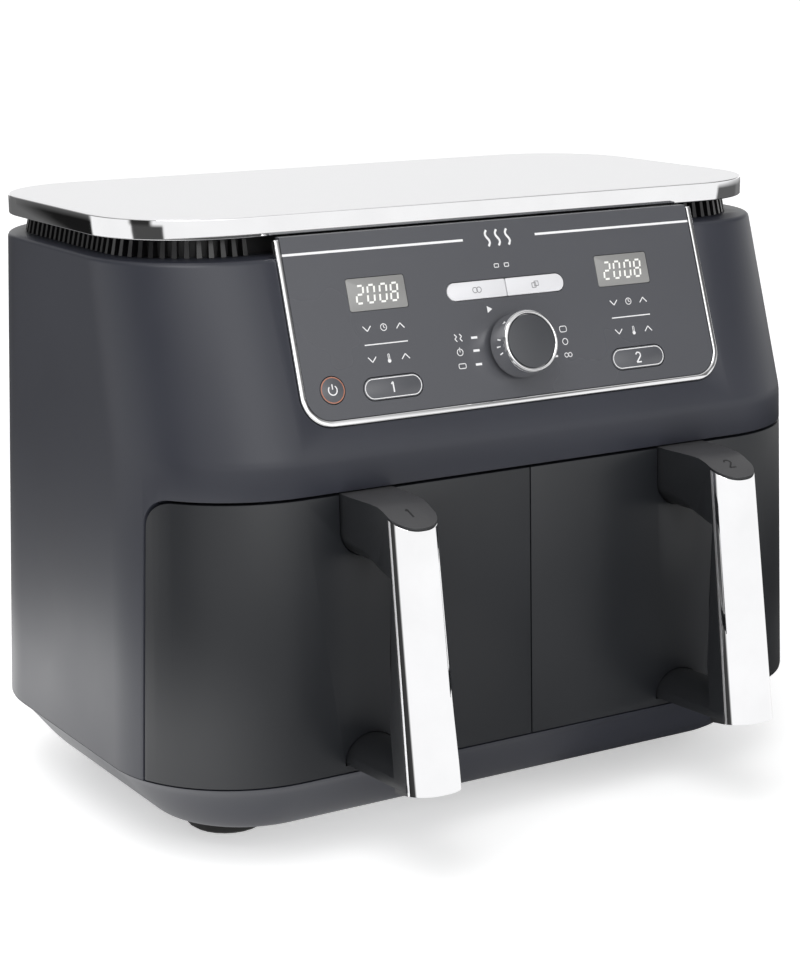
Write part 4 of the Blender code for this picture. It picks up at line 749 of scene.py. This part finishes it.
def make_panel():
    outline = panel_outline(TRIM_WIDTH + GAP)
    outline = [(outline[0][0], PANEL_TOP + 0.0022), *outline[1:-1], (outline[-1][0], PANEL_TOP + 0.0022)]
    fascia = put("fascia", moved(prism(outline, FACE - 0.0035, FACE), PANEL))
    cut(fascia, block((-1, -1, LID_Z - GAP), (1, 1, LID_Z + 0.1)))
    holes = [pill(PILL_MIDDLE - PILL_HALF, PILL_MIDDLE + PILL_HALF, PILL_S, PILL_HEIGHT, -0.0004)]
    holes += [pill(x - ZONE_LENGTH / 2, x + ZONE_LENGTH / 2, ZONE_S, ZONE_HEIGHT, -0.0004) for x in ZONE_X]
    holes += [circle(*POWER, POWER_RADIUS + 0.0004), circle(0, DIAL_S, 0.0040)]
    for hole in holes:
        cut(fascia, moved(prism(hole, -0.02, 0.02), PANEL))
    for x in WINDOW_X:
        w, h = WINDOW[0] / 2 + GAP, WINDOW[1] / 2 + GAP
        seat = rounded(x - w, x + w, WINDOW_S - h, WINDOW_S + h, 0.0015, 6)
        cut(fascia, moved(prism(seat, FACE - 0.0019, 0.02), PANEL))
    finished(fascia, "body", PANEL_GREY, ["control_fascia"])

    trim = put("trim", moved(prism(panel_outline(0), FACE - 0.0035, TRIM_PROUD), PANEL))
    inside = panel_outline(TRIM_WIDTH)
    inside = [(inside[0][0], PANEL_TOP + 0.01), *inside[1:-1], (inside[-1][0], PANEL_TOP + 0.01)]
    cut(trim, moved(prism(inside, -0.02, 0.02), PANEL))
    finished(trim, "body", CHROME, ["panel_trim"], edge=0.0007, segments=4)

    digits = []
    for (name, _), x in zip(SIDES, WINDOW_X):
        w, h = WINDOW[0] / 2, WINDOW[1] / 2
        shape = rounded(x - w, x + w, WINDOW_S - h, WINDOW_S + h, 0.0012, 6)
        window = put(f"{name}_window", moved(prism(shape, FACE - 0.0016, FACE), PANEL))
        finished(window, "body", DISPLAY, [f"{name}_display_window"], edge=0.0001)
        for k, digit in enumerate("2008"):
            place = x - 0.0098 + 0.0064 * k + (0.0006 if k > 1 else 0)
            digits += seven(digit, place, WINDOW_S, 0.0038, 0.0088, 0.0010)
    marks("display_digits", digits, DIGITS)

    def link(inset):
        return pill(PILL_MIDDLE - PILL_HALF, PILL_MIDDLE - GAP, PILL_S, PILL_HEIGHT, inset, right=False)

    def copy(inset):
        return pill(PILL_MIDDLE + GAP, PILL_MIDDLE + PILL_HALF, PILL_S, PILL_HEIGHT, inset, left=False)

    make_key("link_button", link, PILL_GREY)
    make_key("copy_button", copy, PILL_GREY)
    make_key("power_button", lambda i: circle(*POWER, POWER_RADIUS - i), KEY_GREY)
    for (name, _), x in zip(SIDES, ZONE_X):
        shape = lambda i, x=x: pill(x - ZONE_LENGTH / 2, x + ZONE_LENGTH / 2, ZONE_S, ZONE_HEIGHT, i)
        make_key(f"{name}_zone_button", shape, KEY_GREY)
        digit = 1 if x < 0 else 2
        lines = ring(shape(0.0006), 0.00042) + glyph(digit, x, ZONE_S, 0.0052, 0.00075)
        marks(f"{name}_zone_mark", lines, INK, f"{name}_zone_button", KEY_PRINT)
    lines = ring(circle(*POWER, POWER_RADIUS - 0.0002, 56), 0.0005)
    marks("power_ring", lines, COPPER, "power_button", KEY_PRINT)
    px, py = POWER
    icon = stroke(arc(POWER, 0.0024, 52, -224, 23), 0.0006)
    icon += [bar(px, py + 0.0004, px, py + 0.0030, 0.0006)]
    marks("power_icon", icon, INK, "power_button", KEY_PRINT)

    # link key: two joined rings; copy key: two overlapping squares
    lx, cx = PILL_MIDDLE - PILL_HALF / 2, PILL_MIDDLE + PILL_HALF / 2
    icon = ring(circle(lx - 0.0012, PILL_S, 0.0016, 24), 0.0004)
    icon += ring(circle(lx + 0.0012, PILL_S, 0.0016, 24), 0.0004)
    marks("link_icon", icon, INK_GREY, "link_button", KEY_PRINT)
    icon = ring(rounded(cx - 0.0022, cx + 0.0006, PILL_S - 0.0018, PILL_S + 0.0010, 0.0004, 3), 0.0004)
    icon += ring(rounded(cx - 0.0006, cx + 0.0022, PILL_S - 0.0010, PILL_S + 0.0018, 0.0004, 3), 0.0004)
    marks("copy_icon", icon, INK_GREY, "copy_button", KEY_PRINT)

    white = [bar(x0, 0.1014, x1, 0.1014, 0.0012) for x0, x1 in ((-0.1247, -0.0200), (0.0245, 0.1247))]
    # a plain mark between the lines: three rising waves of warm air
    for k in (-1, 0, 1):
        middle = 0.0012 + k * 0.0062
        turns = range(0, 361, 24)
        wave = [(middle + 0.0011 * math.sin(math.radians(a)), 0.0972 + 0.0084 * a / 360) for a in turns]
        white += stroke(wave, 0.0012)
    for x in WINDOW_X:
        x += 0.0003
        for s in (0.0614, 0.0458):
            white += arrow(x - 0.0096, s, False) + arrow(x + 0.0096, s, True)
        white += [bar(x - 0.0125, 0.0533, x + 0.0125, 0.0533, 0.00055)]
        # clock and thermometer instead of words
        white += ring(circle(x, 0.0614, 0.0019, 28), 0.0004)
        white += stroke([(x, 0.0626), (x, 0.0614), (x + 0.0008, 0.0610)], 0.0004)
        white += ring(rounded(x - 0.0006, x + 0.0006, 0.0450, 0.0480, 0.0005, 5), 0.00035)
        white += [circle(x, 0.0444, 0.0010, 18)]
    # ticks round the dial, each with a plain pictogram
    for s in (0.0512, 0.0445, 0.0374):
        white += [bar(-0.0255, s, -0.0218, s, 0.0012)]
        white += [bar(0.0222, s - 0.0006, 0.0252, s - 0.0006, 0.0010)]
    for x in (-0.0310, -0.0340):
        white += stroke([(x, 0.0500), (x - 0.0012, 0.0514), (x, 0.0526), (x - 0.0012, 0.0538)], 0.0005)
    white += ring(circle(-0.0335, 0.0445, 0.0019, 24), 0.0004) + [bar(-0.0335, 0.0445, -0.0335, 0.0470, 0.0004)]
    white += ring(rounded(-0.0358, -0.0312, 0.0360, 0.0388, 0.0009, 4), 0.0004)
    white += ring(rounded(0.0290, 0.0336, 0.0488, 0.0522, 0.0012, 4), 0.0004)
    white += ring(circle(0.0313, 0.0439, 0.0018, 24), 0.0004)
    for x in (0.0306, 0.0330):
        white += ring(circle(x, 0.0368, 0.0013, 20), 0.0004)
    # start mark over the dial, and a pair of small squares for the two zones
    white += [[(-0.0128, 0.0630), (-0.0098, 0.0648), (-0.0128, 0.0666)]]
    for x in (-0.0040, 0.0022):
        white += ring(rounded(x, x + 0.0030, 0.0858, 0.0880, 0.0005, 3), 0.0004)
    marks("panel_print", white, INK)


def make_dial():
    low, high = DIAL_LOW, DIAL_LOW + DIAL_HEIGHT
    skirt = ((0.955, 0.0), (0.985, 0.0005), (1.0, 0.0016))
    crown = ((0.968, 0.0020), (0.960, 0.0010), (0.935, 0.0003), (0.90, 0.0))
    profile = [(0.0033, low)] + [(DIAL_RADIUS * share, low + rise) for share, rise in skirt]
    profile += [(DIAL_RADIUS * share, high - drop) for share, drop in crown]
    profile += [(CAP_RADIUS + GAP + 0.0004, high - 0.0001), (CAP_RADIUS + GAP, high - 0.0005)]
    profile += [(CAP_RADIUS + GAP, high - 0.0021), (0.0033, high - 0.0021)]
    place = PANEL @ Matrix.Translation((0, DIAL_S, 0))
    rim = put("dial_rim", moved(turned(profile), place))
    finished(rim, "dial", CHROME, ["dial_knob"], angle=50)
    cap_low, cap_high = high - 0.0018, high - 0.0003
    profile = [(0, cap_low), (CAP_RADIUS, cap_low), (CAP_RADIUS, cap_high - 0.0004)]
    profile += [(CAP_RADIUS - 0.0001, cap_high - 0.0001), (CAP_RADIUS - 0.0005, cap_high), (0, cap_high)]
    cap = put("dial_face", moved(turned(profile), place))
    finished(cap, "dial", CAP_GREY, ["dial_cap"])


# ---------------------------------------------------------------- what stays from the CAD
def dress():
    finishes = {
        "foot": RUBBER, "rear_vent": BLACK, "cord_gland": RUBBER, "cavity_liner": LINER,
        "heating_element": ELEMENT, "convection_fan": FAN, "fan_shaft": STEEL, "fan_motor": MOTOR,
        "basket": NONSTICK, "crisper_plate": NONSTICK, "plate_foot": SILICONE, "handle_screw": STEEL,
        "dial_shaft": STEEL, "encoder": STEEL, "control_board": BOARD,
    }
    for name, obj in NODES.items():
        for key, finish in finishes.items():
            if key in name and not (key == "foot" and "plate" in name):
                obj.data.materials.clear()
                obj.data.materials.append(finish)


make_housing()
make_base()
make_lid()
make_vent()
make_panel()
make_dial()
for name, side in SIDES:
    make_drawer(name, side)
    make_handle(name, side)
dress()


# ---------------------------------------------------------------- studio
def azimuth(tree, source):
    """Turn a direction into a share of a full turn: 0.5 is the front, 0.75 the right."""
    split = node(tree, "ShaderNodeSeparateXYZ")
    tree.links.new(source, split.inputs["Vector"])
    minus = node(tree, "ShaderNodeMath", operation="MULTIPLY")
    minus.inputs[1].default_value = -1.0
    tree.links.new(split.outputs["Y"], minus.inputs[0])
    turn = node(tree, "ShaderNodeMath", operation="ARCTAN2")
    tree.links.new(split.outputs["X"], turn.inputs[0])
    tree.links.new(minus.outputs["Value"], turn.inputs[1])
    return spread(tree, turn.outputs["Value"], 0, 1, -math.pi, math.pi), split.outputs["Z"]


def greys(tree, source, stops, start=-180, end=180):
    """A ramp of grey levels, given as (angle or distance, level)."""
    ramp = node(tree, "ShaderNodeValToRGB")
    elements = ramp.color_ramp.elements
    for k, (place, level) in enumerate(stops):
        spot = (place - start) / (end - start)
        element = elements[k] if k < 2 else elements.new(spot)
        element.position, element.color = spot, (level, level, level, 1)
    tree.links.new(source, ramp.inputs["Fac"])
    return ramp.outputs["Color"]


def blend(tree, share, low, high, kind="MIX"):
    mix = node(tree, "ShaderNodeMix", data_type="RGBA", blend_type=kind)
    for source, socket in ((share, mix.inputs[0]), (low, mix.inputs[6]), (high, mix.inputs[7])):
        if isinstance(source, bpy.types.NodeSocket):
            tree.links.new(source, socket)
        else:
            socket.default_value = source
    return mix.outputs[2]


def make_world():
    """A white studio whose dark flags stand all round, seen only in reflections."""
    world = bpy.data.worlds.new("studio")
    bpy.context.scene.world = world
    world.use_nodes = True
    tree = world.node_tree
    turn, height = azimuth(tree, node(tree, "ShaderNodeTexCoord").outputs["Generated"])
    low = greys(tree, turn, LOW_FLAGS)
    middle = greys(tree, turn, MIDDLE_FLAGS)
    high = greys(tree, turn, HIGH_FLAGS)
    level = blend(tree, spread(tree, height, 0, 1, -0.10, -0.02), low, middle)
    level = blend(tree, spread(tree, height, 0, 1, 0.18, 0.26), level, high)
    level = blend(tree, spread(tree, height, 0, 1, 0.45, 0.80), level, (*[TOP_LEVEL] * 3, 1))
    path = node(tree, "ShaderNodeLightPath")
    level = blend(tree, path.outputs["Is Singular Ray"], level, greys(tree, turn, STRIP_FLAGS))
    seen = blend(tree, path.outputs["Is Camera Ray"], level, (1, 1, 1, 1))
    tree.links.new(seen, tree.nodes["Background"].inputs["Color"])


def make_floor():
    """A wide white floor, and the patch of it that the satin plastics mirror."""
    bm = bmesh.new()
    bmesh.ops.create_grid(bm, x_segments=1, y_segments=1, size=30.0)
    floor = put("floor", closed(bm))
    made, tree, shader = new_material("floor_white")
    paper = tint(tree, noise(tree, 3.0), (0.90, 0.90, 0.90), (0.92, 0.92, 0.92))
    tree.links.new(paper, shader.inputs["Base Color"])
    shader.inputs["Roughness"].default_value = 0.7
    shader.inputs["Emission Color"].default_value = (1, 1, 1, 1)
    shader.inputs["Emission Strength"].default_value = 0.45
    floor.data.materials.append(made)
    floor.visible_glossy = False
    patch = put("floor_glow", prism(circle(0, 0, 1.0, 64), 0.0004, 0.0008))
    made, tree, shader = new_material("floor_glow")
    place = node(tree, "ShaderNodeTexCoord").outputs["Object"]
    length = node(tree, "ShaderNodeVectorMath", operation="LENGTH")
    tree.links.new(place, length.inputs[0])
    turn, _ = azimuth(tree, place)
    near = greys(tree, length.outputs["Value"], NEAR_FLOOR, 0, 1)
    level = blend(tree, 1.0, near, greys(tree, turn, NEAR_TURN), "MULTIPLY")
    tree.links.new(level, shader.inputs["Emission Color"])
    shader.inputs["Emission Strength"].default_value = 3.2
    shader.inputs["Base Color"].default_value = (0, 0, 0, 1)
    shader.inputs["Specular IOR Level"].default_value = 0
    clear = node(tree, "ShaderNodeBsdfTransparent")
    mix = node(tree, "ShaderNodeMixShader")
    tree.links.new(node(tree, "ShaderNodeLightPath").outputs["Is Singular Ray"], mix.inputs["Fac"])
    tree.links.new(shader.outputs["BSDF"], mix.inputs[1])
    tree.links.new(clear.outputs["BSDF"], mix.inputs[2])
    tree.links.new(mix.outputs["Shader"], tree.nodes["Material Output"].inputs["Surface"])
    patch.data.materials.append(made)
    patch.visible_camera = patch.visible_diffuse = patch.visible_shadow = False


def area(name, place, target, size, power):
    light = bpy.data.lights.new(name, "AREA")
    light.shape, light.size, light.size_y, light.energy = "RECTANGLE", size[0], size[1], power
    obj = bpy.data.objects.new(name, light)
    bpy.context.scene.collection.objects.link(obj)
    obj.location = place
    obj.rotation_euler = (Vector(target) - Vector(place)).to_track_quat("-Z", "Y").to_euler()
    return obj


def make_camera():
    heading, fall, roll = math.radians(31.35), math.radians(13.51), math.radians(-0.34)
    forward = Vector((math.sin(heading) * math.cos(fall), math.cos(heading) * math.cos(fall), -math.sin(fall)))
    right = Vector((math.cos(heading), -math.sin(heading), 0))
    up = right.cross(forward)
    across = right * math.cos(roll) + up * math.sin(roll)
    upward = up * math.cos(roll) - right * math.sin(roll)
    camera = bpy.data.cameras.new("camera")
    camera.lens, camera.sensor_width, camera.clip_end = 85.0987, 36.0, 20.0
    obj = bpy.data.objects.new("camera", camera)
    bpy.context.scene.collection.objects.link(obj)
    turn = Matrix((across, upward, -forward)).transposed().to_4x4()
    obj.matrix_world = Matrix.Translation((-0.65953, -1.05426, 0.45836)) @ turn
    bpy.context.scene.camera = obj


make_world()
make_floor()
area("key", (-1.3, -1.2, 2.4), (0, 0, 0.1), (1.6, 1.6), 30)
make_camera()
bpy.context.scene.view_settings.view_transform = "Standard"
